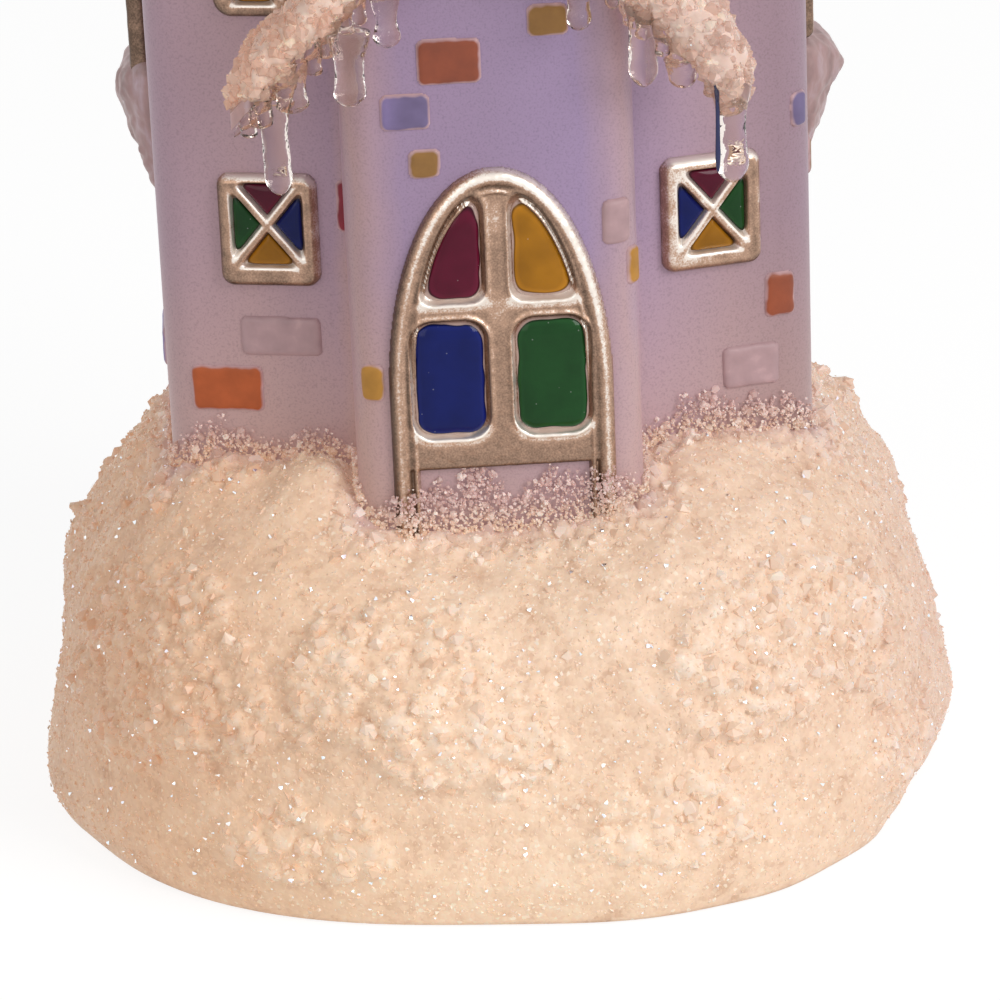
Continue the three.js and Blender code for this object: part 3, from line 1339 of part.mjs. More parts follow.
placeArchedWindow(
  'window_tower',
  'bay',
  0,
  TOWER_WINDOW_SILL,
  TOWER_WINDOW_WIDTH,
  TOWER_WINDOW_HEIGHT,
  FRAME_RELIEF,
);
place('porch_roof', makePorchRoof(), frosted());
place('porch_snow', makePorchSnow(), snow());
place('porch_icicles', makePorchIcicles(), ice());
place('nave_roof', makeNaveRoof(), frosted());
place('nave_roof_snow', makeNaveRoofSnow(), snow());
place('belfry', makeBelfry(), frosted());
place('spire', makeSpire(), frosted());
place('spire_snow', makeSpireSnow(), snow());
place('cross', makeCross(), gold());

export default church;
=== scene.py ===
"""Lighted village church: a frosted acrylic church with gold trim, standing in a mound of snow."""

import json
import math
import random

import bmesh
import bpy
import numpy as np
from mathutils import Matrix, Vector, noise

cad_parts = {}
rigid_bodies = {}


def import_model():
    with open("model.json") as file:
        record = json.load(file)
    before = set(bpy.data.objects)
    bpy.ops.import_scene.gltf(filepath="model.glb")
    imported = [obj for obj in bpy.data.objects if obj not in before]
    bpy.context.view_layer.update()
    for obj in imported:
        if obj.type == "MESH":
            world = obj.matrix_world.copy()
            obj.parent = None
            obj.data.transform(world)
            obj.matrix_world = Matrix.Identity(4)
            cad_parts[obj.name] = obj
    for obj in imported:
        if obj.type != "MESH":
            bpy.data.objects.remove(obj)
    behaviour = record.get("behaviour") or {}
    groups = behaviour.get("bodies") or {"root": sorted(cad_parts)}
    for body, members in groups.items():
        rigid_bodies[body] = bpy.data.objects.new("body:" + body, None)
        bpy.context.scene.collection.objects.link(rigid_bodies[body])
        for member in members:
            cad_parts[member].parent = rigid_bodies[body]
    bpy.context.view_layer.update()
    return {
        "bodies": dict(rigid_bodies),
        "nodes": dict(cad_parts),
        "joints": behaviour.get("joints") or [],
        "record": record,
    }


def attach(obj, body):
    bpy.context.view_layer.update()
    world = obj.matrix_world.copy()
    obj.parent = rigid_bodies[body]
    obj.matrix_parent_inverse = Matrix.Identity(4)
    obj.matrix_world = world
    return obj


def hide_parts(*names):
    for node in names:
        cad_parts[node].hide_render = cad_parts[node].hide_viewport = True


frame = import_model()

bl_info = {
    "name": "Lighted Village Church",
    "version": (1, 0, 0),
    "blender": (4, 5, 0),
    "location": "View3D > Sidebar > Church",
    "description": "Builds a lighted village church around its CAD frame",
    "category": "Object",
}

MM = 0.001
WHITE = Vector((1, 1, 1))

# Sizes of the solids that the pieces stand on, in millimetres
BASE_WIDTH = 152
BASE_DEPTH = 151
MOUND_HEIGHT = 66
MOUND_WAIST = 10
MOUND_TUCK = 0.037
MOUND_SQUARENESS = 2.4
MOUND_RISE = 1.47
MOUND_ROUNDING = 0.19
MOUND_LEAN = 10
MOUND_LEAN_POWER = 2.4
SNOW_BOTTOM = 0.5
DOOR_DIP = 9
DOOR_DIP_WIDTH = 34
DOOR_DIP_SHIFT = -4
BODY_BOTTOM = 48.3
WALL = 2.5
BAY_HALF_WIDTH = 22.5
BAY_FRONT = -48
BAY_CORNER = 5
TOWER_BACK = -5
TOWER_TOP = 226
TOWER_SHELF = 150
NAVE_HALF_WIDTH = 52
NAVE_BACK = 30
NAVE_CORNER = 7
NAVE_EAVES = 160
NAVE_PITCH = math.radians(40)
WING_START = -32.7
WING_ANGLE = math.radians(13)
WING_END = WING_START + (NAVE_HALF_WIDTH - BAY_HALF_WIDTH) * math.tan(WING_ANGLE)
WING_LENGTH = (NAVE_HALF_WIDTH - BAY_HALF_WIDTH) / math.cos(WING_ANGLE)
SIDE_MIDDLE = 2
FRAME_BAR = 1.9
PORCH_HALF_SPAN = 39
PORCH_EAVES = 127
PORCH_PITCH = math.radians(46)
PORCH_FRONT = -55
TOWER_MIDDLE = (BAY_FRONT + TOWER_BACK) / 2

# Outlines in plan as (x, y, corner radius), anticlockwise from the front left
WING_INNER = BAY_HALF_WIDTH - WALL - 0.3
NAVE_OUTLINE = [
    (-WING_INNER, WING_START - (BAY_HALF_WIDTH - WING_INNER) * math.tan(WING_ANGLE), 0),
    (WING_INNER, WING_START - (BAY_HALF_WIDTH - WING_INNER) * math.tan(WING_ANGLE), 0),
    (NAVE_HALF_WIDTH, WING_END, NAVE_CORNER),
    (NAVE_HALF_WIDTH, NAVE_BACK, NAVE_CORNER),
    (-NAVE_HALF_WIDTH, NAVE_BACK, NAVE_CORNER),
    (-NAVE_HALF_WIDTH, WING_END, NAVE_CORNER),
]
TOWER_OUTLINE = [
    (-BAY_HALF_WIDTH, BAY_FRONT, BAY_CORNER),
    (BAY_HALF_WIDTH, BAY_FRONT, BAY_CORNER),
    (BAY_HALF_WIDTH, TOWER_BACK, BAY_CORNER),
    (-BAY_HALF_WIDTH, TOWER_BACK, BAY_CORNER),
]


def srgb(red, green, blue):
    """A colour written as it looks on screen, 0 to 255, as the linear one that shaders take."""
    return tuple(
        v / 12.92 if v <= 0.04045 else ((v + 0.055) / 1.055) ** 2.4
        for v in (red / 255, green / 255, blue / 255)
    )


def colour_property(label, text, red, green, blue):
    return bpy.props.FloatVectorProperty(
        name=label, description=text, subtype="COLOR", size=3, min=0, max=1,
        default=srgb(red, green, blue),
    )


def length_property(label, text, millimetres):
    return bpy.props.FloatProperty(name=label, description=text, default=millimetres * MM, unit="LENGTH")


def number_property(label, text, value, unit="NONE"):
    return bpy.props.FloatProperty(name=label, description=text, default=value, min=0, unit=unit)


class CHURCH_PG_snow(bpy.types.PropertyGroup):
    light: colour_property("Light snow", "Colour of the snow where light falls on it", 245, 220, 197)
    shade: colour_property("Shaded snow", "Colour of the snow in its hollows", 205, 166, 138)
    # This colour also gives the painted mauve glow of the walls on the snow and grains beside them
    wall_grain: colour_property("Wall grains", "Colour of the grains that lie on the walls", 186, 156, 154)
    frost: colour_property("Frost", "Colour of the snow on the porch and the roofs", 230, 205, 194)
    glow: number_property("Glow", "Light that comes through the snow from inside", 0.12)
    smallest: length_property("Smallest grain", "Size of the finest grains", 0.45)
    largest: length_property("Largest grain", "Size of the coarsest loose grains", 1)
    lumps: length_property("Lump height", "How far small lumps stand out of the mound", 0.6)
    glitter: length_property("Glitter flake", "Size of a glitter flake", 0.95)
    seed: bpy.props.IntProperty(name="Seed", description="Where the grains fall", default=7)


class CHURCH_PG_body(bpy.types.PropertyGroup):
    middle: colour_property("Middle of a wall", "Acrylic with the lamp behind it", 148, 127, 156)
    edge: colour_property("Edge of a wall", "Acrylic at the corners", 168, 139, 142)
    foot: colour_property("Foot of a wall", "Acrylic just above the snow", 188, 155, 144)
    behind_paint: colour_property("Light behind paint", "Violet light that dulls paint", 92, 78, 96)
    orange: colour_property("Orange brick", "Paint of the orange bricks", 162, 81, 44)
    yellow: colour_property("Yellow brick", "Paint of the yellow bricks", 168, 121, 54)
    blue: colour_property("Blue brick", "Paint of the blue bricks", 128, 113, 156)
    red: colour_property("Red brick", "Paint of the red brick by the bay", 120, 36, 48)
    glow: number_property("Glow", "Light that comes through the walls from inside", 0.2)
    brick_relief: length_property("Brick relief", "How far bricks stand out", 0.7)


class CHURCH_PG_trim(bpy.types.PropertyGroup):
    gold: colour_property("Gold", "Champagne gold of the frames", 172, 140, 119)
    wine: colour_property("Wine pane", "Resin of the wine panes", 92, 14, 42)
    amber: colour_property("Amber pane", "Resin of the amber panes", 168, 112, 22)
    blue: colour_property("Blue pane", "Resin of the blue panes", 12, 26, 98)
    green: colour_property("Green pane", "Resin of the green panes", 26, 72, 32)
    moulding: length_property("Moulding width", "Width of the round moulding of the door", 3.1)
    hammer: length_property("Hammer depth", "Depth of the dents in the door's panel", 0.12)


class CHURCH_PG_ice(bpy.types.PropertyGroup):
    length: length_property("Icicle length", "Usual length of an icicle under the porch", 10)
    radius: length_property("Icicle radius", "Usual radius of an icicle at its root", 2)
    # Painted refraction: a dark blue sliver inside the right icicle stands in for the blue seen through it
    streak: colour_property("Streak", "Dark blue seen through the right icicle", 28, 34, 82)
    seed: bpy.props.IntProperty(name="Seed", description="Shape of the small drops", default=3)


class CHURCH_PG_stage(bpy.types.PropertyGroup):
    floor: colour_property("Floor", "Colour of the studio floor", 252, 252, 252)
    key: number_property("Key lamp", "Power of the main lamp", 5.7, "POWER")
    fill: number_property("Fill lamp", "Power of the lamp on the other side", 1.5, "POWER")
    sky: number_property("Surroundings", "Light from all around", 0.45)


# Node helpers


def feed(tree, socket, value):
    """Links an input to the socket that feeds it, or gives it a value."""
    if isinstance(value, bpy.types.NodeSocket):
        tree.links.new(value, socket)
    elif socket.type == "RGBA":
        socket.default_value = (*value[:3], 1)
    else:
        socket.default_value = value


def add_node(tree, kind, links=None, **settings):
    """A node with its settings and its inputs, each a value or the socket that feeds it."""
    node = tree.nodes.new(kind)
    for name, value in settings.items():
        setattr(node, name, value)
    for name, value in (links or {}).items():
        feed(tree, node.inputs[name], value)
    return node


def maths(tree, operation, *values):
    node = add_node(tree, "ShaderNodeMath", operation=operation)
    for socket, value in zip(node.inputs, values):
        feed(tree, socket, value)
    return node.outputs[0]


def weigh(tree, start, *parts):
    """A start plus values, each times its weight."""
    total = start
    for value, weight in parts:
        total = maths(tree, "ADD", maths(tree, "MULTIPLY", value, weight), total)
    return total


def blend_colours(tree, factor, first, second, mode="MIX"):
    node = add_node(tree, "ShaderNodeMix", data_type="RGBA", blend_type=mode)
    for socket, value in ((0, factor), (6, first), (7, second)):
        feed(tree, node.inputs[socket], value)
    return node.outputs[2]


def ramp(tree, factor, stops):
    """A colour ramp; each stop is a place and a colour or a grey."""
    node = add_node(tree, "ShaderNodeValToRGB", {"Fac": factor})
    elements = node.color_ramp.elements
    while len(elements) < len(stops):
        elements.new(1)
    for element, (place, value) in zip(elements, stops):
        element.position = place
        element.color = (value, value, value, 1) if isinstance(value, (int, float)) else (*value, 1)
    return node.outputs["Color"]


def speckle(tree, place, size, detail=2.0):
    """Noise whose features are about size millimetres."""
    node = add_node(
        tree, "ShaderNodeTexNoise",
        {"Vector": place, "Scale": 1 / (size * MM), "Detail": detail},
    )
    return node.outputs["Fac"]


class Finish:
    """A material on object coordinates, with one Principled shader."""

    def __init__(self, name, **constants):
        self.material = bpy.data.materials.new(name)
        self.material.use_nodes = True
        self.tree = self.material.node_tree
        self.shader = self.tree.nodes["Principled BSDF"]
        self.place = add_node(self.tree, "ShaderNodeTexCoord").outputs["Object"]
        self.set(**constants)

    def set(self, **values):
        for name, value in values.items():
            feed(self.tree, self.shader.inputs[name.replace("_", " ")], value)

    def bump(self, height, strength, depth):
        """Relief of a height pattern, its depth in millimetres."""
        node = add_node(
            self.tree, "ShaderNodeBump", {"Height": height, "Strength": strength, "Distance": depth * MM}
        )
        self.tree.links.new(node.outputs["Normal"], self.shader.inputs["Normal"])

    def attribute(self, name):
        return add_node(self.tree, "ShaderNodeAttribute", attribute_name=name).outputs["Fac"]

    def axis(self, letter):
        return add_node(self.tree, "ShaderNodeSeparateXYZ", {"Vector": self.place}).outputs[letter]

    def across(self, width):
        """0 at the left end of a width in millimetres, 1 at its right end."""
        return weigh(self.tree, 0.5, (self.axis("X"), 1 / (width * MM)))

    def scatter_light(self, red, green, blue):
        """How far light of each colour travels inside, in millimetres."""
        self.shader.inputs["Subsurface Radius"].default_value = (red * MM, green * MM, blue * MM)


# Finishes


def acrylic_finish(body):
    """Frosted acrylic, lit from inside: violet in the middle of a wall, mauve at its edges."""
    finish = Finish("frosted_acrylic", Roughness=0.42, Subsurface_Weight=0.12)
    finish.scatter_light(3, 2, 3)
    tree = finish.tree
    cloud = speckle(tree, finish.place, 22)
    from_middle = maths(tree, "ABSOLUTE", finish.axis("X"))
    from_middle = weigh(tree, -0.06, (from_middle, 1 / (NAVE_HALF_WIDTH * MM)), (cloud, 0.12))
    middle, edge = Vector(body.middle), Vector(body.edge)
    front = ramp(tree, from_middle, [
        (0.0, middle), (0.26, middle), (0.40, edge), (0.46, middle.lerp(edge, 0.35)),
        (0.72, middle.lerp(edge, 0.8)), (1.0, middle.lerp(edge, 0.55)),
    ])
    back = ramp(tree, from_middle, [(0.0, middle), (1.0, middle.lerp(edge, 0.6))])
    behind = weigh(tree, 0.5, (finish.axis("Y"), 1 / (BASE_DEPTH * MM)))
    colour = blend_colours(tree, ramp(tree, behind, [(0.5, 0.0), (0.6, 1.0)]), front, back)
    low = add_node(tree, "ShaderNodeMapRange", {
        "Value": finish.axis("Z"),
        "From Min": 60 * MM, "From Max": 100 * MM, "To Min": 0.75, "To Max": 0.0,
    })
    colour = blend_colours(tree, low.outputs["Result"], colour, body.foot)
    grain = speckle(tree, finish.place, 0.35, detail=1.0)
    tone = ramp(tree, weigh(tree, 0.64, (grain, 0.7)), [(0.0, 0.0), (1.0, 1.0)])
    colour = blend_colours(tree, 1.0, colour, tone, "MULTIPLY")
    # Painted light and shade across the walls, left to right: a little darker in the middle, lighter and
    # bluer right of it, darker again at the right end
    painted_wall_light = ramp(tree, finish.across(2 * NAVE_HALF_WIDTH), [
        (0.0, (1.0, 0.98, 0.97)), (0.3, (1.0, 0.97, 0.95)), (0.5, (0.93, 0.92, 0.92)),
        (0.75, (1.05, 1.06, 1.14)), (0.95, (0.8, 0.78, 0.78)),
    ])
    colour = blend_colours(tree, 1.0, colour, painted_wall_light, "MULTIPLY")
    finish.set(Base_Color=colour, Emission_Color=colour, Emission_Strength=body.glow)
    finish.bump(grain, 0.12, 0.06)
    return finish.material


def crystal_cells(tree, place, size):
    """Packed crystals about size millimetres across: each one's own tone, and its domed height."""
    cells = add_node(
        tree, "ShaderNodeTexVoronoi", {"Vector": place, "Scale": 1 / (size * MM)}, feature="F1"
    )
    own = add_node(tree, "ShaderNodeSeparateColor", {"Color": cells.outputs["Color"]}).outputs["Red"]
    return own, maths(tree, "SUBTRACT", 1.0, cells.outputs["Distance"])


def across_tint(finish, colour):
    """Browner snow towards the left and higher up, where less of the light reaches."""
    tree = finish.tree
    sideways = ramp(tree, finish.across(BASE_WIDTH), [
        (0.0, (0.84, 0.74, 0.68)), (0.12, (0.91, 0.79, 0.69)), (0.3, (0.95, 0.9, 0.84)),
        (0.42, (1.0, 0.98, 0.95)), (0.55, (0.97, 0.96, 0.94)), (0.85, (0.91, 0.88, 0.87)),
        (0.98, (0.84, 0.79, 0.82)),
    ])
    upwards = ramp(tree, maths(tree, "DIVIDE", finish.axis("Z"), MOUND_HEIGHT * MM), [
        (0.1, (1.04, 1.03, 1.0)), (0.45, (0.98, 0.95, 0.925)), (0.85, (0.96, 0.935, 0.915)),
    ])
    colour = blend_colours(tree, 1.0, colour, sideways, "MULTIPLY")
    return blend_colours(tree, 1.0, colour, upwards, "MULTIPLY")


def snow_finish(light, shade, snow, name="snow_crust", rough=0.5):
    """Artificial snow of packed crystals, with painted shade in its hollows, painted glints, and a painted
    mauve glow close to the walls.
    """
    finish = Finish(name, Roughness=rough, Subsurface_Weight=0.35)
    finish.scatter_light(4, 2.5, 1.5)
    tree = finish.tree
    own, domes = crystal_cells(tree, finish.place, 0.75)
    large, large_domes = crystal_cells(tree, finish.place, 1.9)
    soft = speckle(tree, finish.place, 5, detail=3.0)
    height = finish.attribute("height")
    # Painted shade: the height attribute turns hollows and cracks to the shaded colour and makes the
    # highest places paler
    level = weigh(tree, 0, (own, 0.16), (large, 0.1), (soft, 0.16), (height, 0.46))
    colour = ramp(tree, level, [
        (0.08, shade), (0.32, light.lerp(shade, 0.25)), (0.48, light), (0.7, light.lerp(WHITE, 0.3)),
    ])
    # Painted glints: a few crystals turned pale cream as if they caught the light
    painted_glint = ramp(tree, crystal_cells(tree, finish.place, 0.6)[0], [(0.955, 0.0), (0.985, 0.6)])
    colour = across_tint(finish, blend_colours(tree, painted_glint, colour, (1, 0.93, 0.82)))
    # Painted glow: snow close to the walls takes their mauve light, as much as the glow attribute says
    mauve = maths(tree, "MULTIPLY", finish.attribute("glow"), 0.8)
    colour = blend_colours(tree, mauve, colour, Vector(snow.wall_grain) * 1.1)
    finish.set(Base_Color=colour, Emission_Color=colour, Emission_Strength=snow.glow)
    finish.bump(weigh(tree, 0, (domes, 1), (large_domes, 1.2)), 0.3, 0.2)
    return finish.material


def grain_finish(snow, name, light, shade, clear=0.0):
    """Loose grains: each has a tone of its own, and a gloss that sparkles."""
    finish = Finish(name, Roughness=0.22, Transmission_Weight=clear, IOR=1.35, Subsurface_Weight=0.4)
    finish.scatter_light(3, 2, 1.5)
    tree = finish.tree
    tone = finish.attribute("tone")
    colour = ramp(tree, tone, [
        (0.0, shade), (0.5, light), (0.9, light.lerp(WHITE, 0.35)), (0.97, (1, 0.94, 0.85)),
    ])
    # Painted glow: grains near the walls, and higher up them, take the walls' mauve light
    mauve = maths(tree, "MULTIPLY", finish.attribute("glow"), 0.9)
    wall = Vector(snow.wall_grain)
    tint = ramp(tree, tone, [(0.0, wall * 1.05), (0.5, wall * 1.35), (1.0, (0.92, 0.78, 0.74))])
    colour = blend_colours(tree, mauve, across_tint(finish, colour), tint)
    finish.set(Base_Color=colour, Emission_Color=colour, Emission_Strength=snow.glow)
    return finish.material


def glitter_finish():
    """Flakes of glitter with a faint play of colour from flake to flake."""
    finish = Finish("glitter", Roughness=0.12, Metallic=1.0)
    colour = ramp(
        finish.tree, finish.attribute("tone"),
        [(0.0, (1, 0.95, 0.9)), (0.4, (1, 1, 1)), (0.7, (0.85, 0.95, 1)), (1.0, (1, 0.9, 1))],
    )
    finish.set(Base_Color=colour)
    return finish.material


def ice_finish():
    """Clear moulded ice with soft waves in it."""
    finish = Finish("clear_ice", Roughness=0.03, Transmission_Weight=1.0, IOR=1.36)
    tree = finish.tree
    cloud = speckle(tree, finish.place, 5)
    colour = ramp(tree, cloud, [(0.3, (0.93, 0.83, 0.77)), (0.7, (1.0, 0.95, 0.9))])
    finish.set(Base_Color=colour)
    finish.bump(speckle(tree, finish.place, 1.8), 0.6, 0.5)
    return finish.material


def frost_finish(snow):
    """Half-clear frozen snow with soft streaks that run down it."""
    finish = Finish(
        "frozen_snow", Roughness=0.32, Transmission_Weight=0.35, IOR=1.33, Subsurface_Weight=0.4
    )
    finish.scatter_light(4, 3, 3)
    tree = finish.tree
    stretched = add_node(tree, "ShaderNodeMapping", {"Vector": finish.place, "Scale": (1, 1, 0.3)})
    streaks = speckle(tree, stretched.outputs["Vector"], 2.2, detail=3.0)
    mauve = Vector(snow.wall_grain)
    colour = ramp(tree, streaks, [(0.3, mauve * 0.72), (0.55, mauve), (0.75, (0.62, 0.5, 0.55))])
    finish.set(Base_Color=colour, Emission_Color=colour, Emission_Strength=snow.glow)
    finish.bump(streaks, 0.4, 0.35)
    return finish.material


def gold_finish(trim, name, dent, gloss):
    """Champagne gold paint on a cast relief; dent is the size of its hammer marks in millimetres."""
    finish = Finish(name, Metallic=0.75)
    tree = finish.tree
    marks = speckle(tree, finish.place, dent, detail=3.0)
    fine = speckle(tree, finish.place, 0.3, detail=2.0)
    gold = Vector(trim.gold)
    # The attribute read here holds painted highlights and painted shade from the relief's slopes and lips;
    # the ramp runs from shaded brown to a near-white highlight
    level = weigh(tree, -0.625, (finish.attribute("crest"), 1), (marks, 0.45), (fine, 0.8))
    colour = ramp(tree, level, [
        (0.0, gold * 0.3), (0.42, gold * 0.8), (0.7, gold * 1.25),
        (1.0, gold.lerp(Vector((1, 0.95, 0.88)), 0.75)),
    ])
    rough = ramp(tree, marks, [(0.3, gloss), (0.7, gloss + 0.16)])
    finish.set(Base_Color=colour, Roughness=rough)
    finish.bump(marks, 0.35, 0.12)
    return finish.material


def resin_finish(name, colour):
    """Domed resin: pale where it is thin at the rim, deep in the middle, with a few pale specks."""
    finish = Finish(name, Roughness=0.09, IOR=1.45, Specular_IOR_Level=0.2)
    tree = finish.tree
    base = Vector(colour)
    cloud = speckle(tree, finish.place, 4)
    depth = finish.attribute("depth")
    deep = ramp(tree, cloud, [(0.3, base * 0.8), (0.7, base)])
    dark = ramp(tree, depth, [(0.05, 0.4), (0.09, 0.5), (0.15, 1.35), (0.35, 1.0)])
    rim = ramp(tree, depth, [(0.0, 1.0), (0.04, 0.85), (0.07, 0.0)])
    colour = blend_colours(tree, 1.0, deep, dark, "MULTIPLY")
    colour = blend_colours(tree, rim, colour, (0.55, 0.40, 0.36))
    domes = crystal_cells(tree, finish.place, 2.2)[1]
    pale_specks = ramp(tree, domes, [(0.94, 0.0), (0.96, 0.3)])
    colour = blend_colours(tree, pale_specks, colour, base.lerp(WHITE, 0.5))
    finish.set(Base_Color=colour)
    return finish.material


def paint_finish(name, body, colour, cover):
    """Paint on a moulded brick, thin at its uneven edge where the acrylic shows."""
    finish = Finish(name, Roughness=0.42, Specular_IOR_Level=0.25)
    tree = finish.tree
    streak = speckle(tree, finish.place, 3, detail=3.0)
    base, edge = Vector(colour), Vector(body.edge) * (1 + 0.2 * cover)
    paint = ramp(tree, streak, [(0.3, base * 0.85), (0.7, base * 1.1)])
    clear = ramp(tree, streak, [(0.3, edge * 0.86), (0.6, edge), (0.75, edge * 1.2)])
    # Painted light: in the middle of the bay and towards the right end, the paint is painted darker and
    # tinged with the violet light behind it
    lit = ramp(tree, finish.across(2 * NAVE_HALF_WIDTH), [
        (0.34, 0.0), (0.38, 1.0), (0.62, 1.0), (0.66, 0.0), (0.8, 0.0), (0.9, 0.5), (0.98, 1.0),
    ])
    paint_in_backlight = blend_colours(tree, 1.0, paint, (0.68, 0.7, 0.68), "MULTIPLY")
    paint_in_backlight = blend_colours(tree, 0.16, paint_in_backlight, body.behind_paint)
    amount = ramp(tree, finish.attribute("paint"), [(0.0, 0.0), (0.8, cover)])
    colour = blend_colours(tree, amount, clear, blend_colours(tree, lit, paint, paint_in_backlight))
    finish.set(Base_Color=colour, Emission_Color=colour, Emission_Strength=body.glow)
    finish.bump(streak, 0.2, 0.15)
    return finish.material


def plain_finish(name, colour, roughness, metallic=0.0, size=1.2):
    """Moulded, rolled or painted stock with a fine texture and slight changes of tone."""
    finish = Finish(name, Metallic=metallic)
    tree = finish.tree
    grain = speckle(tree, finish.place, size, detail=3.0)
    base = Vector(colour)
    tone = ramp(tree, grain, [(0.3, base * 0.88), (0.7, base * 1.12)])
    rough = ramp(tree, grain, [(0.3, roughness), (0.7, min(roughness + 0.12, 1))])
    finish.set(Base_Color=tone, Roughness=rough)
    finish.bump(grain, 0.25, 0.05)
    return finish.material


# Mesh helpers


def new_piece(name, points, faces, material, smooth=True):
    """A piece from points in millimetres, its place in its mesh."""
    mesh = bpy.data.meshes.new(name)
    mesh.from_pydata([(x * MM, y * MM, z * MM) for x, y, z in points], [], faces)
    mesh.materials.append(material)
    return show_mesh(name, mesh, smooth)


def show_mesh(name, mesh, smooth=True):
    mesh.validate()
    mesh.polygons.foreach_set("use_smooth", [smooth] * len(mesh.polygons))
    piece = bpy.data.objects.new(name, mesh)
    bpy.context.scene.collection.objects.link(piece)
    return piece


def settle(piece, slot, *nodes, body="church"):
    """Hands a finished piece to the frame."""
    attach(piece, body)
    if nodes:
        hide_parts(*nodes)
    return piece


def store(mesh, name, values):
    """Keeps one number for each vertex under a name."""
    attribute = mesh.attributes.new(name, "FLOAT", "POINT")
    attribute.data.foreach_set("value", np.asarray(values, dtype=np.float32).ravel())


def close_back(mesh):
    """Closes the open edges of a mesh with flat faces and turns all faces outwards."""
    shape = bmesh.new()
    shape.from_mesh(mesh)
    loose = [v for v in shape.verts if not v.link_faces]
    bmesh.ops.delete(shape, geom=loose, context="VERTS")
    open_edges = [e for e in shape.edges if e.is_boundary]
    made = bmesh.ops.holes_fill(shape, edges=open_edges, sides=0)
    bmesh.ops.triangulate(shape, faces=made["faces"])
    bmesh.ops.recalc_face_normals(shape, faces=shape.faces)
    shape.to_mesh(mesh)
    shape.free()


def rounded_outline(corners, grow=0.0, step=0.6):
    """Points along an outline with rounded corners, anticlockwise, and the normals there."""
    points, normals = [], []
    count = len(corners)
    for i, (x, y, radius) in enumerate(corners):
        before, after = corners[i - 1], corners[(i + 1) % count]
        arriving = Vector((x - before[0], y - before[1])).normalized()
        leaving = Vector((after[0] - x, after[1] - y)).normalized()
        turn = math.atan2(arriving.x * leaving.y - arriving.y * leaving.x, arriving.dot(leaving))
        outward = Vector((arriving.y + leaving.y, -arriving.x - leaving.x)).normalized()
        tip = Vector((x, y)) + outward * grow / math.cos(turn / 2)
        if radius == 0:
            points.append(tuple(tip))
            normals.append(tuple(outward))
            continue
        radius = radius + grow
        start = tip - arriving * radius * math.tan(turn / 2)
        centre = start + Vector((-arriving.y, arriving.x)) * radius
        first = math.atan2(start.y - centre.y, start.x - centre.x)
        steps = max(2, round(radius * turn / step))
        for k in range(steps + 1):
            angle = first + turn * k / steps
            normal = (math.cos(angle), math.sin(angle))
            points.append((centre.x + radius * normal[0], centre.y + radius * normal[1]))
            normals.append(normal)
    return np.array(points), np.array(normals)


class WallPath:
    """An outline measured along its length, for pieces that lie on a wall and round its corners."""

    def __init__(self, corners):
        points, normals = rounded_outline(corners)
        self.points = np.vstack([points, points[:1]])
        self.normals = np.vstack([normals, normals[:1]])
        steps = np.hypot(*np.diff(self.points, axis=0).T)
        self.lengths = np.concatenate([[0], np.cumsum(steps)])

    def nearest(self, x, y):
        """How far along the outline the point nearest to a place lies."""
        place = np.array((x, y))
        best = (math.inf, 0.0)
        for i, (a, b) in enumerate(zip(self.points[:-1], self.points[1:])):
            share = np.clip(np.dot(place - a, b - a) / max(np.dot(b - a, b - a), 1e-9), 0, 1)
            gap = np.hypot(*(a + share * (b - a) - place))
            best = min(best, (gap, self.lengths[i] + share * (self.lengths[i + 1] - self.lengths[i])))
        return best[1]

    def at(self, along):
        """Points and normals at distances along the outline."""
        along = np.mod(along, self.lengths[-1])
        point = [np.interp(along, self.lengths, self.points[:, k]) for k in (0, 1)]
        normal = [np.interp(along, self.lengths, self.normals[:, k]) for k in (0, 1)]
        size = np.hypot(*normal)
        return point[0], point[1], normal[0] / size, normal[1] / size


NAVE_PATH = WallPath(NAVE_OUTLINE)
TOWER_PATH = WallPath(TOWER_OUTLINE)
WALLS = {
    "bay": (TOWER_PATH, TOWER_PATH.nearest(0, BAY_FRONT)),
    "left_wing": (NAVE_PATH, NAVE_PATH.nearest(-BAY_HALF_WIDTH, WING_START)),
    "right_wing": (NAVE_PATH, NAVE_PATH.nearest(BAY_HALF_WIDTH, WING_START)),
    "left_side": (NAVE_PATH, NAVE_PATH.nearest(-NAVE_HALF_WIDTH, SIDE_MIDDLE)),
    "right_side": (NAVE_PATH, NAVE_PATH.nearest(NAVE_HALF_WIDTH, SIDE_MIDDLE)),
    "back": (NAVE_PATH, NAVE_PATH.nearest(0, NAVE_BACK)),
}


def on_wall(wall, along, up, out):
    """Places on a wall: distance along it, height above the ground and distance out of it."""
    path, start = WALLS[wall]
    x, y, nx, ny = path.at(start + along)
    return np.stack([x + nx * out, y + ny * out, up + 0 * x], axis=-1)


# Distances to flat shapes in millimetres, negative inside


def box_distance(x, z, half_x, half_z, corner):
    dx = np.abs(x) - half_x + corner
    dz = np.abs(z) - half_z + corner
    outside = np.hypot(np.maximum(dx, 0), np.maximum(dz, 0))
    return outside + np.minimum(np.maximum(dx, dz), 0) - corner


def ellipse_distance(x, z, half_x, half_z):
    near = np.hypot(x / half_x, z / half_z)
    slope = np.hypot(x / half_x**2, z / half_z**2)
    return np.where(slope < 1e-6, -min(half_x, half_z), near * (near - 1) / np.maximum(slope, 1e-6))


def arch_distance(x, z, half, height):
    """A rectangle with a half-round head, standing on z = 0."""
    spring = height - half
    lower = box_distance(x, z - spring / 2, half, spring / 2, 0)
    return np.minimum(np.where(z < spring, lower, math.inf), np.hypot(x, z - spring) - half)


def both(first, second, rounding):
    """The part that two shapes share, with a rounded corner where they cross."""
    rise = np.maximum(rounding - np.abs(first - second), 0)
    return np.maximum(first, second) + rise * rise / (4 * rounding)


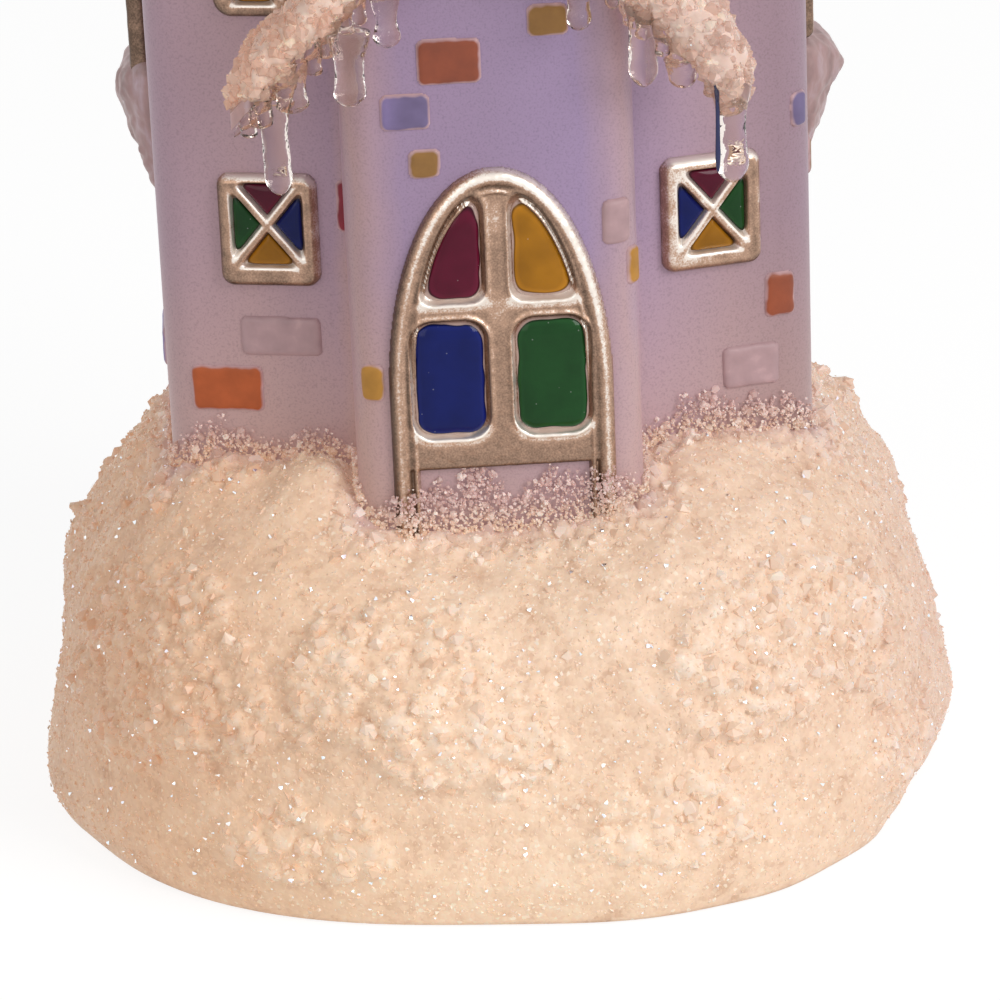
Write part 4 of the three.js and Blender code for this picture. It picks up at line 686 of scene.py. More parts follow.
def smooth(low, high, value):
    share = np.clip((value - low) / (high - low), 0, 1)
    return share * share * (3 - 2 * share)


def rounded_edge(depth, radius):
    """Height of a rounded edge, 0 at the edge to 1 where depth reaches radius."""
    share = np.clip(depth / radius, 0, 1)
    return np.sqrt(np.clip(1 - (1 - share) ** 2, 0, 1))


RELIEF_FLOOR = -0.35


def relief_grid(half_x, low, high, step):
    xs = np.linspace(-half_x, half_x, int(2 * half_x / step) + 1)
    zs = np.linspace(low, high, int((high - low) / step) + 1)
    return np.meshgrid(xs, zs)


def shown_quads(kept, first=0):
    """Faces of a grid of points that touch a kept point; the points are numbered from first."""
    cell = kept[:-1, :-1] | kept[1:, :-1] | kept[:-1, 1:] | kept[1:, 1:]
    index = first + np.arange(kept.size).reshape(kept.shape)
    return np.stack([index[:-1, :-1], index[:-1, 1:], index[1:, 1:], index[1:, :-1]], axis=-1)[cell]


def flat_points(x, z, level=0.0):
    """Places of a flat grid as rows of x, z and a level, to read noise at."""
    return np.stack([x.ravel(), z.ravel(), np.full(x.size, level)], axis=-1)


def relief_piece(name, wall, centre, foot, grid, height, material, extra=None, base=0.0):
    """A moulded relief on a wall from its height over a grid; below zero there is nothing."""
    along, up = grid
    kept = height > 0
    out = np.where(kept, height + base, np.maximum(height, RELIEF_FLOOR) + base)
    points = on_wall(wall, centre + along.ravel(), foot + up.ravel(), out.ravel())
    mesh = bpy.data.meshes.new(name)
    mesh.from_pydata((points * MM).tolist(), [], shown_quads(kept).tolist())
    for key, values in (extra or {}).items():
        store(mesh, key, values)
    close_back(mesh)
    mesh.materials.append(material)
    return show_mesh(name, mesh)


def ring_faces(first, sides, rows, downwards=False):
    """Faces between rings of points that are numbered from first."""
    for i in range(rows - 1):
        for k in range(sides):
            a, b = first + i * sides + k, first + i * sides + (k + 1) % sides
            yield (a, a + sides, b + sides, b) if downwards else (a, b, b + sides, a + sides)


def add_tube(faces, first, sides, rows, downwards=False):
    """Adds the faces of a closed tube of rings, whose points are numbered from first."""
    faces.extend(ring_faces(first, sides, rows, downwards))
    last = first + (rows - 1) * sides
    near, far = tuple(range(first, first + sides)), tuple(range(last, last + sides))
    faces.extend((near, far[::-1]) if downwards else (near[::-1], far))


# Snow


def noise_field(points, size, seed):
    """Smooth noise from -1 to 1 at points in millimetres."""
    shift = Vector((seed * 7.3, seed * 3.1, seed * 5.7))
    return np.array([noise.noise(Vector(p) / size + shift) for p in points])


def crystal_gaps(points, size, seed):
    """How far inside a crystal each point lies, 0 at the cracks, for crystals of a size in millimetres."""
    shift = Vector((seed * 7.3, seed * 3.1, seed * 5.7))
    near = [noise.voronoi(Vector(p) / size + shift)[0] for p in points]
    return np.array([gaps[1] - gaps[0] for gaps in near])


def mound_share(z):
    climb = np.clip((z - MOUND_WAIST) / (MOUND_HEIGHT - MOUND_WAIST), 0, 1)
    upper = (1 - climb**MOUND_RISE) ** MOUND_ROUNDING
    below = np.maximum(MOUND_WAIST - z, 0) / MOUND_WAIST
    return np.where(z < MOUND_WAIST, 1 - MOUND_TUCK * below**2, upper)


def mound_point(angle, z, inset=0.0, dipped=True):
    """Places on the mound by angle and level, which broadcast together."""
    share = mound_share(z)
    power = 2 / MOUND_SQUARENESS
    cos, sin = np.cos(angle), np.sin(angle)
    x = (BASE_WIDTH / 2 * share - inset) * np.sign(cos) * np.abs(cos) ** power
    y = (BASE_DEPTH / 2 * share - inset) * np.sign(sin) * np.abs(sin) ** power
    climb = np.clip((z - MOUND_WAIST) / (MOUND_HEIGHT - MOUND_WAIST), 0, 1)
    y = y - MOUND_LEAN * climb**MOUND_LEAN_POWER
    if dipped:
        across = np.exp(-(((x - DOOR_DIP_SHIFT) / DOOR_DIP_WIDTH) ** 2))
        dip = DOOR_DIP * across * (1 - smooth(BAY_FRONT, TOWER_BACK, y))
        z = z - dip * smooth(MOUND_HEIGHT / 2, MOUND_HEIGHT, z)
    return np.stack(np.broadcast_arrays(x, y, z), axis=-1)


# Lumps of the mound: direction of the middle in degrees from +X, its height, radius and rise
MOUND_LUMPS = [
    (225, 39, 15, 2.4), (259, 37, 15, 2.2), (231, 55, 12, 1.4), (171, 38, 11, 1.7), (6, 43, 11, 1.8),
    (291, 34, 14, 0.9), (326, 42, 13, 1), (34, 36, 14, 2), (73, 42, 15, 2.2), (98, 28, 14, 1.8),
    (129, 44, 14, 2.2), (154, 28, 13, 1.8),
]
LUMPS_FADE = (10, 22)


def lump_rise(points):
    rise = np.zeros(len(points))
    for turn, z, radius, height in MOUND_LUMPS:
        middle = mound_point(np.radians([turn]), np.array([z]), dipped=False)[0]
        rise += height * np.exp(-(((points - middle) ** 2).sum(axis=1)) / radius**2)
    return rise * smooth(*LUMPS_FADE, points[:, 2])


MOUND_COLUMNS = 600
MOUND_ROWS = 128
MOUND_INNER_SHARE = 0.34
CRUST = 4.9
CAVITY_TOP = 48.3


def mound_levels():
    """Levels at equal steps along the mound's side, from the ground to inside the walls."""
    climb = np.linspace(0, 1, 4000)
    last = (1 - MOUND_INNER_SHARE ** (1 / MOUND_ROUNDING)) ** (1 / MOUND_RISE)
    z = np.concatenate([
        np.linspace(SNOW_BOTTOM, MOUND_WAIST, 200)[:-1],
        MOUND_WAIST + (MOUND_HEIGHT - MOUND_WAIST) * last * np.sin(climb * math.pi / 2),
    ])
    step = np.hypot(np.diff(z), np.diff(mound_share(z) * BASE_WIDTH / 2))
    length = np.concatenate([[0], np.cumsum(step)])
    return np.interp(np.linspace(0, length[-1], MOUND_ROWS), length, z)


def mound_angles():
    """Angles at equal steps along the mound's outline, anticlockwise from the right."""
    angle = np.linspace(0, 2 * math.pi, 20001)
    outline = mound_point(angle, np.full_like(angle, MOUND_WAIST))
    step = np.hypot(*np.diff(outline[:, :2], axis=0).T)
    length = np.concatenate([[0], np.cumsum(step)])
    places = np.linspace(0, length[-1], MOUND_COLUMNS, endpoint=False)
    return np.interp(places, length, angle)


# Raised patches of the crust, each a loop of places on the mound's front, in millimetres
CRUST_PATCHES = [
    [(-70.2, 24), (-63.2, 22.6), (-58.9, 23.2), (-52.1, 27.4), (-42.3, 25.7), (-37.5, 33),
     (-38.5, 45), (-45, 53), (-56, 52), (-66, 42)],
    [(-35.2, 31.1), (-25.8, 31.1), (-17.4, 24.4), (-1.8, 23.6), (6.1, 27.8), (5, 38), (-6, 47),
     (-17, 51), (-29, 50), (-35.8, 42)],
    [(24, 30), (38, 27), (50, 31), (58, 26), (63, 33), (57, 45), (44, 52), (30, 50), (22, 41)],
    [(8, 13), (21, 9), (36, 12), (34, 21), (22, 25), (11, 22)],
    [(-46, 9), (-32, 8), (-20, 12), (-24, 19), (-38, 21), (-48, 17)],
    [(56, 10), (66, 9), (71, 15), (66, 22), (57, 20)],
]
PATCH_RISE = 1.1
PATCH_EDGE = 1.6
CRYSTAL_RISE = 0.8


def patch_distance(x, z, loop):
    """Distance to a loop on the front, negative inside."""
    corners = np.array(loop, dtype=float)
    near = np.full(x.shape, math.inf)
    inside = np.zeros(x.shape, dtype=bool)
    for a, b in zip(corners, np.roll(corners, -1, axis=0)):
        span = b - a
        share = np.clip(((x - a[0]) * span[0] + (z - a[1]) * span[1]) / span.dot(span), 0, 1)
        near = np.minimum(near, np.hypot(x - a[0] - share * span[0], z - a[1] - share * span[1]))
        crosses = (a[1] > z) != (b[1] > z)
        level = span[1] if abs(span[1]) > 1e-9 else 1e-9
        inside ^= crosses & (x < a[0] + (z - a[1]) * span[0] / level)
    return np.where(inside, -near, near)


def mound_relief(points, snow):
    """How far the crust stands out at each point, its own height from 0 to 1, which sets its painted shade,
    and its patches.
    """
    lumps = noise_field(points, 9, 1) + 0.7 * noise_field(points, 4.5, 2)
    chunks = noise_field(points, 2.4, 3)
    grains = noise_field(points, 1.1, 4)
    ragged = 2.4 * noise_field(points, 5, 5) + 1.6 * noise_field(points, 1.8, 6)
    x, y, z = points.T
    patches = np.zeros(len(points))
    for loop in CRUST_PATCHES:
        inside = smooth(-PATCH_EDGE / 2, PATCH_EDGE / 2, -patch_distance(x, z, loop) + ragged)
        patches = np.maximum(patches, inside * (y < 0))
    behind = noise_field(points, 16, 7) + 0.3 * noise_field(points, 3, 8)
    patches = np.maximum(patches, smooth(0.25, 0.4, behind) * smooth(-10, 10, y) * (z > 12))
    patches = np.maximum(patches, smooth(9, 3, wall_distance(points) + ragged) * smooth(40, 48, z))
    rough = smooth(10, 26, z) * 0.75 + 0.25
    blocks = smooth(0, 0.45, crystal_gaps(points, 4.4, 9)) - 0.6
    shards = smooth(0, 0.5, crystal_gaps(points, 2.3, 10)) - 0.6
    crystals = patches * blocks + (0.2 + 0.5 * patches) * rough * shards
    height = rough * (snow.lumps / MM * lumps + 0.7 * np.abs(chunks) * (0.5 + patches)) + 0.15 * grains
    height = height + PATCH_RISE * patches * (1 + 0.4 * lumps) - 0.35 + CRYSTAL_RISE * crystals
    # This level paints shade into the crust: low in hollows and in the cracks between crystals, high on
    # lumps and patches
    level = 0.5 + 0.25 * lumps + 0.2 * chunks + 0.3 * (patches - 0.4) + 0.45 * crystals
    return height, np.clip(level, 0, 1), patches


# Slow departures of the mound from its even shape, as the photo shows its outline: a place, how far
# they reach and how far they push outwards
MOUND_NUDGES = [
    ((-70, 13, 37), 7, 0.3), ((-74.5, 4, 20), 5, -3.4), ((-74, -22, 4), 11, 2.4),
    ((-60, 20, 51), 5, -2.6), ((-65, 16, 45), 4, 0.8), ((-66, 15, 42), 5, -1.0),
    ((67, 7, 44), 5, 0.4), ((71, 0, 34), 9, -3.2), ((60, 14, 52), 6, 2.4), ((64, 10, 48), 4, -1.0),
    ((75, -14, 14), 7, 1.2), ((69, -34, 2), 13, -3.0), ((20, -71, 2), 22, 3.0), ((62, -46, 0), 6, -1.0),
    ((-61, 24, 50), 7, -2.4), ((-74, 15, 20), 5, -2.6), ((-74, -6, 19), 5, -2.2), ((75, -11, 18), 6, -1.6),
    ((40, -66, 0), 9, 1.2), ((-74, 6, 21), 5, -2.0), ((-68, 15, 40), 4, -1.3),
]


def mound_nudge(points):
    push = np.zeros(len(points))
    for middle, reach, far in MOUND_NUDGES:
        push += far * np.exp(-(((points - middle) ** 2).sum(axis=1)) / reach**2)
    return push


def surface_normals(grid):
    """Normals of a grid of places whose columns run round and whose rows run up."""
    round_step = np.roll(grid, -1, axis=1) - np.roll(grid, 1, axis=1)
    up_step = np.gradient(grid, axis=0)
    normal = np.cross(round_step, up_step)
    return normal / np.maximum(np.linalg.norm(normal, axis=-1, keepdims=True), 1e-9)


def make_mound_mesh(snow):
    angles = mound_angles()
    levels = mound_levels()
    grid = mound_point(angles[None, :], levels[:, None])
    normals = surface_normals(grid)
    flat = grid.reshape(-1, 3)
    relief, height, patches = mound_relief(flat, snow)
    relief = relief * smooth(SNOW_BOTTOM - 1, SNOW_BOTTOM + 4, flat[:, 2])
    slow = lump_rise(flat) + mound_nudge(flat)
    away = normals.reshape(-1, 3) * [1, 1, 0]
    away = away / np.maximum(np.linalg.norm(away, axis=1, keepdims=True), 0.3)
    outer = flat + away * slow[:, None] + normals.reshape(-1, 3) * relief[:, None]
    outer[:, 2] += heap_rise(outer[:, 0], outer[:, 1], MOUND_HEAPS) * smooth(30, 48, outer[:, 2])
    outer[:, 2] = np.maximum(outer[:, 2], SNOW_BOTTOM)
    inner_levels = np.array([SNOW_BOTTOM, 5, MOUND_WAIST, 20, 30, 40, CAVITY_TOP])
    inner = mound_point(angles[None, :], inner_levels[:, None], CRUST, dipped=False)
    ceiling = grid[-1:] * [1, 1, 0] + [0, 0, CAVITY_TOP]
    rows = np.vstack([outer, inner.reshape(-1, 3), ceiling.reshape(-1, 3)])
    count = len(levels) + len(inner_levels) + 1
    index = np.arange(count * MOUND_COLUMNS).reshape(count, MOUND_COLUMNS)
    along = np.roll(index, -1, axis=1)

    def band(low, high):
        return np.stack([index[low], along[low], along[high], index[high]], axis=-1)

    first = len(levels)
    outside = [band(i, i + 1) for i in range(first - 1)]
    inside = [band(i + 1, i) for i in range(first, count - 1)]
    foot = np.stack([along[0], index[0], index[first], along[first]], axis=-1)
    head = band(first - 1, count - 1)
    quads = np.vstack([*outside, *inside, foot, head])
    mesh = bpy.data.meshes.new("snow_crust")
    mesh.from_pydata((rows * MM).tolist(), [], quads.tolist())
    # The height attribute carries that level, which paints shade into the crust's hollows
    painted_shade_levels = np.zeros(len(rows))
    painted_shade_levels[: len(height)] = height
    store(mesh, "height", painted_shade_levels)
    shown = np.zeros(len(rows))
    shown[: len(height)] = flat[:, 2] > SNOW_BOTTOM + 1.5
    shown = shown * (1 - under_church(rows))
    store(mesh, "cover", shown)
    rough = np.zeros(len(rows))
    rough[: len(height)] = 0.12 * smooth(8, 30, flat[:, 2]) + patches
    store(mesh, "coarse", shown * rough)
    # Painted glow: how much of the walls' mauve light the snow takes, fading within a few millimetres of
    # them
    glow = np.exp(-wall_distance(rows) / 2.2) * smooth(40, 50, rows[:, 2])
    store(mesh, "glow", np.clip(glow, 0, 1))
    return mesh


def wall_distance(points):
    """Distance in plan to the foot of the walls, measured outwards."""
    x, y = points[:, 0], points[:, 1]
    past = np.maximum(np.maximum(BAY_FRONT - y, y - NAVE_BACK), 0)
    bay = np.hypot(np.maximum(np.abs(x) - BAY_HALF_WIDTH, 0), past)
    side = np.maximum(np.abs(x) - NAVE_HALF_WIDTH, 0)
    front = WING_START + (np.abs(x) - BAY_HALF_WIDTH) * math.tan(WING_ANGLE)
    ends = np.maximum(np.maximum(front - y, y - NAVE_BACK), 0)
    return np.minimum(bay, np.hypot(side, ends))


def under_church(points):
    """1 where a place lies inside the church's outline, so that no grain is wasted there."""
    x, y = points[:, 0], points[:, 1]
    sides = (np.abs(x) < NAVE_HALF_WIDTH - 1) & (y < NAVE_BACK - 1)
    front = WING_START + (np.abs(x) - BAY_HALF_WIDTH) * math.tan(WING_ANGLE) + 1
    bay = (np.abs(x) < BAY_HALF_WIDTH - 1) & (y > BAY_FRONT + 1) & (y < NAVE_BACK)
    return ((sides & (y > front)) | bay).astype(float)


# Grains


def crumb(name, seed, corners, size, squash=1.0):
    """A small angular grain: the hull of a few points near a sphere of one unit across."""
    dice = random.Random(seed)
    shape = bmesh.new()
    for k in range(corners):
        turn = 2.4 * k + dice.uniform(-0.5, 0.5)
        up = 1 - 2 * (k + 0.5) / corners + dice.uniform(-0.12, 0.12)
        level = max(-1, min(1, up))
        reach = dice.uniform(*size) / 2
        round_part = math.sqrt(1 - level * level)
        shape.verts.new((
            reach * round_part * math.cos(turn), reach * round_part * math.sin(turn) * 0.75,
            reach * level * squash,
        ))
    bmesh.ops.convex_hull(shape, input=shape.verts)
    bmesh.ops.delete(shape, geom=[v for v in shape.verts if not v.link_faces], context="VERTS")
    bmesh.ops.recalc_face_normals(shape, faces=shape.faces)
    mesh = bpy.data.meshes.new(name)
    shape.to_mesh(mesh)
    shape.free()
    return bpy.data.objects.new(name, mesh)


def grain_stock():
    """Collections of grain shapes to scatter: fine, coarse and flakes."""
    stock = {
        "fine": [crumb(f"fine_{i}", i, 6, (0.7, 1), 0.9) for i in range(5)],
        "coarse": [crumb(f"coarse_{i}", 20 + i, 10, (0.75, 1), 0.8) for i in range(7)],
        "flake": [crumb(f"flake_{i}", 40 + i, 6, (0.8, 1), 0.14) for i in range(3)],
    }
    collections = {}
    for kind, shapes in stock.items():
        collection = bpy.data.collections.new(kind)
        for shape in shapes:
            collection.objects.link(shape)
        collections[kind] = collection
    return collections


def clear_stock(collections):
    for collection in collections.values():
        for shape in list(collection.objects):
            mesh = shape.data
            bpy.data.objects.remove(shape)
            bpy.data.meshes.remove(mesh)
        bpy.data.collections.remove(collection)


def scatter_tree(name, material, lying=False):
    """Strews grains over a surface; each has its own turn, size and tone."""
    tree = bpy.data.node_groups.new(name, "GeometryNodeTree")
    sockets = tree.interface
    sockets.new_socket("Geometry", in_out="OUTPUT", socket_type="NodeSocketGeometry")
    sockets.new_socket("Geometry", in_out="INPUT", socket_type="NodeSocketGeometry")
    for label, kind in (
        ("Grains", "Collection"), ("Density", "Float"), ("Smallest", "Float"), ("Largest", "Float"),
        ("Sink", "Float"), ("Seed", "Int"), ("Mask", "String"),
    ):
        sockets.new_socket(label, in_out="INPUT", socket_type=f"NodeSocket{kind}")
    enter = add_node(tree, "NodeGroupInput").outputs
    cover = add_node(
        tree, "GeometryNodeInputNamedAttribute", {"Name": enter["Mask"]}, data_type="FLOAT"
    ).outputs["Attribute"]
    strewn = add_node(tree, "GeometryNodeDistributePointsOnFaces", {
        "Mesh": enter["Geometry"],
        "Density": maths(tree, "MULTIPLY", enter["Density"], cover),
        "Seed": enter["Seed"],
    })
    sunk = add_node(
        tree, "ShaderNodeVectorMath", {"Vector": strewn.outputs["Normal"]}, operation="SCALE"
    )
    tree.links.new(enter["Sink"], sunk.inputs["Scale"])
    placed = add_node(tree, "GeometryNodeSetPosition", {
        "Geometry": strewn.outputs["Points"], "Offset": sunk.outputs["Vector"],
    })
    reach = 0.7 if lying else math.pi
    turn = add_node(
        tree, "FunctionNodeRandomValue", {"Min": (-reach,) * 3, "Max": (reach,) * 3, "Seed": 1},
        data_type="FLOAT_VECTOR",
    ).outputs["Value"]
    turn = add_node(
        tree, "FunctionNodeRotateRotation",
        {"Rotation": strewn.outputs["Rotation"], "Rotate By": turn}, rotation_space="LOCAL",
    ).outputs["Rotation"]
    share = add_node(
        tree, "FunctionNodeRandomValue", {2: 0.0, 3: 1.0, "Seed": 2}, data_type="FLOAT"
    ).outputs[1]
    share = maths(tree, "POWER", share, 1.8)
    size = maths(
        tree, "ADD", enter["Smallest"],
        maths(tree, "MULTIPLY", share, maths(tree, "SUBTRACT", enter["Largest"], enter["Smallest"])),
    )
    shapes = add_node(
        tree, "GeometryNodeCollectionInfo",
        {"Collection": enter["Grains"], "Separate Children": True, "Reset Children": True},
    )
    grains = add_node(tree, "GeometryNodeInstanceOnPoints", {
        "Points": placed.outputs["Geometry"],
        "Instance": shapes.outputs["Instances"],
        "Pick Instance": True,
        "Rotation": turn,
        "Scale": size,
    })
    tone = add_node(
        tree, "FunctionNodeRandomValue", {2: 0.0, 3: 1.0, "Seed": 3}, data_type="FLOAT"
    ).outputs[1]
    toned = add_node(
        tree, "GeometryNodeStoreNamedAttribute",
        {"Geometry": grains.outputs["Instances"], "Name": "tone", "Value": tone},
        data_type="FLOAT", domain="INSTANCE",
    )
    solid = add_node(tree, "GeometryNodeRealizeInstances", {"Geometry": toned.outputs["Geometry"]})
    finished = add_node(
        tree, "GeometryNodeSetMaterial", {"Geometry": solid.outputs["Geometry"], "Material": material}
    )
    add_node(tree, "NodeGroupOutput", {"Geometry": finished.outputs["Geometry"]})
    return tree


def strew(name, ground, tree, **inputs):
    """A piece of loose grains strewn over a ground mesh, which isn't kept."""
    carrier = bpy.data.objects.new(name + "_ground", ground)
    bpy.context.scene.collection.objects.link(carrier)
    modifier = carrier.modifiers.new("strew", "NODES")
    modifier.node_group = tree
    identifiers = {
        socket.name: socket.identifier
        for socket in tree.interface.items_tree if socket.in_out == "INPUT"
    }
    for label, value in inputs.items():
        modifier[identifiers[label]] = value
    bpy.context.view_layer.update()
    seen = carrier.evaluated_get(bpy.context.evaluated_depsgraph_get())
    mesh = bpy.data.meshes.new_from_object(seen)
    carrier.modifiers.remove(modifier)
    bpy.data.objects.remove(carrier)
    mesh.name = name
    return show_mesh(name, mesh, smooth=False)


# How many grains fall on a square metre of the mound, of the walls' foot and of a drift
FINE_DENSITY = 700000.0
CLEAR_DENSITY = 420000.0
CRYSTAL_DENSITY = 200000.0
FLAKE_DENSITY = 45000.0
WALL_DENSITY = 3600000.0
DRIFT_FINE_DENSITY = 400000.0
DRIFT_CRYSTAL_DENSITY = 60000.0
DRIFT_FLAKE_DENSITY = 20000.0


def strew_kinds(kinds, stock, ground, node, seed, step):
    """Strews kinds of grain, each with its name, shape, tree, density, sizes, sink and mask.

    The sink is in millimetres, and step is added to the seed from one kind to the next.
    """
    for order, (name, shape, tree, density, smallest, largest, sink, mask) in enumerate(kinds):
        piece = strew(
            name, ground.copy(), tree, Grains=stock[shape], Density=density, Smallest=smallest,
            Largest=largest, Sink=sink * MM, Seed=seed + step * order, Mask=mask,
        )
        settle(piece, "snow", node)


# Heaps of snow against the walls: place of the middle, rise and half width in millimetres
MOUND_HEAPS = [(-29, -40, 6.5, 8), (-45, -31, 2.5, 7), (33, -39, 2.5, 6)]
# Heaps of grains on the walls in the same terms
WALL_HEAPS = [
    (-3.7, BAY_FRONT, 10, 4.5), (8.2, BAY_FRONT, 8, 4.5), (-11, BAY_FRONT, 5, 4), (-15.4, BAY_FRONT, 6, 3),
    (16.2, BAY_FRONT, 6.5, 3.5), (-46, -28, 3.5, 6), (-31, -35, 3, 7), (34, -30, 4, 9), (47, -27, 3, 5),
]


# How far the grains on the walls' foot stand off the walls, and more so off the legs of the door
GRAIN_CLEARANCE = 0.45
LEG_CLEARANCE = 2.0


def heap_rise(x, y, heaps):
    rise = np.zeros(len(x))
    for middle_x, middle_y, height, width in heaps:
        rise = rise + height * np.exp(-((x - middle_x) ** 2 + (y - middle_y) ** 2) / width**2)
    return rise


def wall_foot(snow_points):
    """A band of ground on the walls, just above the snow, for the grains that stick there."""
    top = snow_points[snow_points[:, 2] > 40]
    points, faces, covers, glows = [], [], [], []
    rises = np.linspace(-2, 13, 31)
    for path in (NAVE_PATH, TOWER_PATH):
        lengths = np.arange(0, path.lengths[-1], 0.5)
        x, y, nx, ny = path.at(lengths)
        legs = np.exp(-(((np.abs(x - DOOR_CENTRE) - ARCH_HALF_WIDTH) / 2.2) ** 2))
        out = GRAIN_CLEARANCE + LEG_CLEARANCE * (legs * (y < BAY_FRONT + 0.5))
        x, y = x + nx * out, y + ny * out
        gaps = (x[:, None] - top[None, :, 0]) ** 2 + (y[:, None] - top[None, :, 1]) ** 2
        near = gaps < 4
        level = np.where(near, top[None, :, 2], -math.inf).max(axis=1)
        level = np.where(np.isfinite(level), level, top[gaps.argmin(axis=1), 2])
        flat = np.stack([x, y, level], axis=-1)
        reach = 2.4 + 1.5 * noise_field(flat, 7, 81) + 1.3 * noise_field(flat, 2, 82)
        reach = reach + heap_rise(x, y, WALL_HEAPS)
        first = len(points)
        for rise in rises:
            points.extend(np.stack([x, y, level + rise], axis=-1).tolist())
            covers.extend(np.clip((reach - rise) / 2.2, 0, 1).tolist())
            glows.extend(np.clip((rise + 1) / 5 + 0 * x, 0, 1).tolist())
        faces.extend(ring_faces(first, len(x), len(rises)))
    mesh = bpy.data.meshes.new("wall_foot")
    mesh.from_pydata((np.array(points) * MM).tolist(), [], faces)
    store(mesh, "cover", np.array(covers))
    store(mesh, "glow", np.array(glows))
    return mesh


class CHURCH_OT_mound(bpy.types.Operator):
    """Builds the crust of the snow mound and the grains on it"""

    bl_idname = "village_church.mound"
    bl_label = "Snow Mound"

    def execute(self, context):
        snow = context.scene.church_snow
        light, shade = Vector(snow.light), Vector(snow.shade)
        mesh = make_mound_mesh(snow)
        mesh.materials.append(snow_finish(light, shade, snow))
        crust = show_mesh("snow_crust", mesh)
        settle(crust, "snow", "snow_mound")
        stock = grain_stock()
        pale, dark = light.lerp(WHITE, 0.1), light.lerp(shade, 0.2)
        loose = scatter_tree("loose_grains", grain_finish(snow, "snow_grains", pale, dark))
        clear = scatter_tree(
            "clear_grains",
            grain_finish(snow, "clear_grains", light.lerp(WHITE, 0.22), light.lerp(shade, 0.1), 0.2),
        )
        flakes = scatter_tree("glitter_flakes", glitter_finish(), lying=True)
        small, large, flake = snow.smallest, snow.largest, snow.glitter
        strew_kinds((
            ("snow_grains_fine", "fine", loose, FINE_DENSITY, small, large, -0.1, "cover"),
            ("snow_grains_loose", "fine", loose, FINE_DENSITY, small, large, -0.1, "cover"),
            ("snow_grains_clear", "fine", clear, CLEAR_DENSITY, small, large * 1.5, -0.1, "cover"),
            ("snow_crystals", "coarse", clear, CRYSTAL_DENSITY, 1 * MM, 4.2 * MM, -0.5, "coarse"),
            ("glitter_flakes", "flake", flakes, FLAKE_DENSITY, flake * 0.5, flake * 1.3, 0.3, "cover"),
        ), stock, mesh, "snow_mound", snow.seed, 1)
        strip = wall_foot(np.array([tuple(v.co) for v in mesh.vertices]) / MM)
        strew_kinds((
            ("wall_crystals", "coarse", clear, FINE_DENSITY, 0.8 * MM, 2.2 * MM, -0.2, "cover"),
            ("snow_on_walls", "fine", clear, WALL_DENSITY, 0.5 * MM, 1.2 * MM, 0.2, "cover"),
        ), stock, strip, "snow_mound", snow.seed + 8, 1)
        clear_stock(stock)
        return {"FINISHED"}


# Church body


# Anything that has to be taller than the church, or longer, and the angle of an edge that shows
PAST_TOP = 300
PAST_ENDS = 120
SHARP_ANGLE = math.radians(35)


def prism(name, outline, low, high):
    """A closed upright prism over an outline in plan."""
    count = len(outline)
    points = [(x, y, low) for x, y in outline] + [(x, y, high) for x, y in outline]
    faces = [tuple(reversed(range(count))), tuple(range(count, 2 * count))]
    faces += [(i, (i + 1) % count, count + (i + 1) % count, count + i) for i in range(count)]
    return new_piece(name, points, faces, None, smooth=False)


def gable_prism(name, half, eaves, pitch):
    """Everything under a gable roof that runs along y."""
    reach = half * 1.5
    ridge = eaves + half * math.tan(pitch)
    low = ridge - reach * math.tan(pitch)
    section = [(-reach, 0), (reach, 0), (reach, low), (0, ridge), (-reach, low)]
    count = len(section)
    points = [(x, y, z) for y in (-PAST_ENDS, PAST_ENDS) for x, z in section]
    faces = [tuple(range(count)), tuple(reversed(range(count, 2 * count)))]
    faces += [((i + 1) % count, i, count + i, count + (i + 1) % count) for i in range(count)]
    return new_piece(name, points, faces, None, smooth=False)


def carve(piece, tool, operation):
    """Joins, cuts or keeps what a second solid shares, and drops that solid."""
    modifier = piece.modifiers.new("carve", "BOOLEAN")
    modifier.operation = operation
    modifier.object = tool
    modifier.solver = "EXACT"
    bpy.context.view_layer.update()
    seen = piece.evaluated_get(bpy.context.evaluated_depsgraph_get())
    mesh = bpy.data.meshes.new_from_object(seen)
    old = piece.data
    piece.modifiers.remove(modifier)
    piece.data = mesh
    bpy.data.meshes.remove(old)
    spare = tool.data
    bpy.data.objects.remove(tool)
    bpy.data.meshes.remove(spare)


def body_shell():
    """Nave, bay and tower as one hollow moulding."""
    nave = prism("church_walls", rounded_outline(NAVE_OUTLINE)[0], BODY_BOTTOM, 230)
    carve(nave, gable_prism("roof_line", NAVE_HALF_WIDTH, NAVE_EAVES, NAVE_PITCH), "INTERSECT")
    carve(nave, prism("tower", rounded_outline(TOWER_OUTLINE)[0], BODY_BOTTOM, TOWER_TOP), "UNION")
    room = prism("nave_room", rounded_outline(NAVE_OUTLINE, -WALL)[0], 0, PAST_TOP)
    above = prism("tower_above", rounded_outline(TOWER_OUTLINE)[0], TOWER_SHELF, TOWER_TOP + 1)
    carve(room, above, "DIFFERENCE")
    carve(nave, room, "DIFFERENCE")
    tower_room = prism("tower_room", rounded_outline(TOWER_OUTLINE, -WALL)[0], 0, PAST_TOP)
    carve(nave, tower_room, "DIFFERENCE")
    return nave


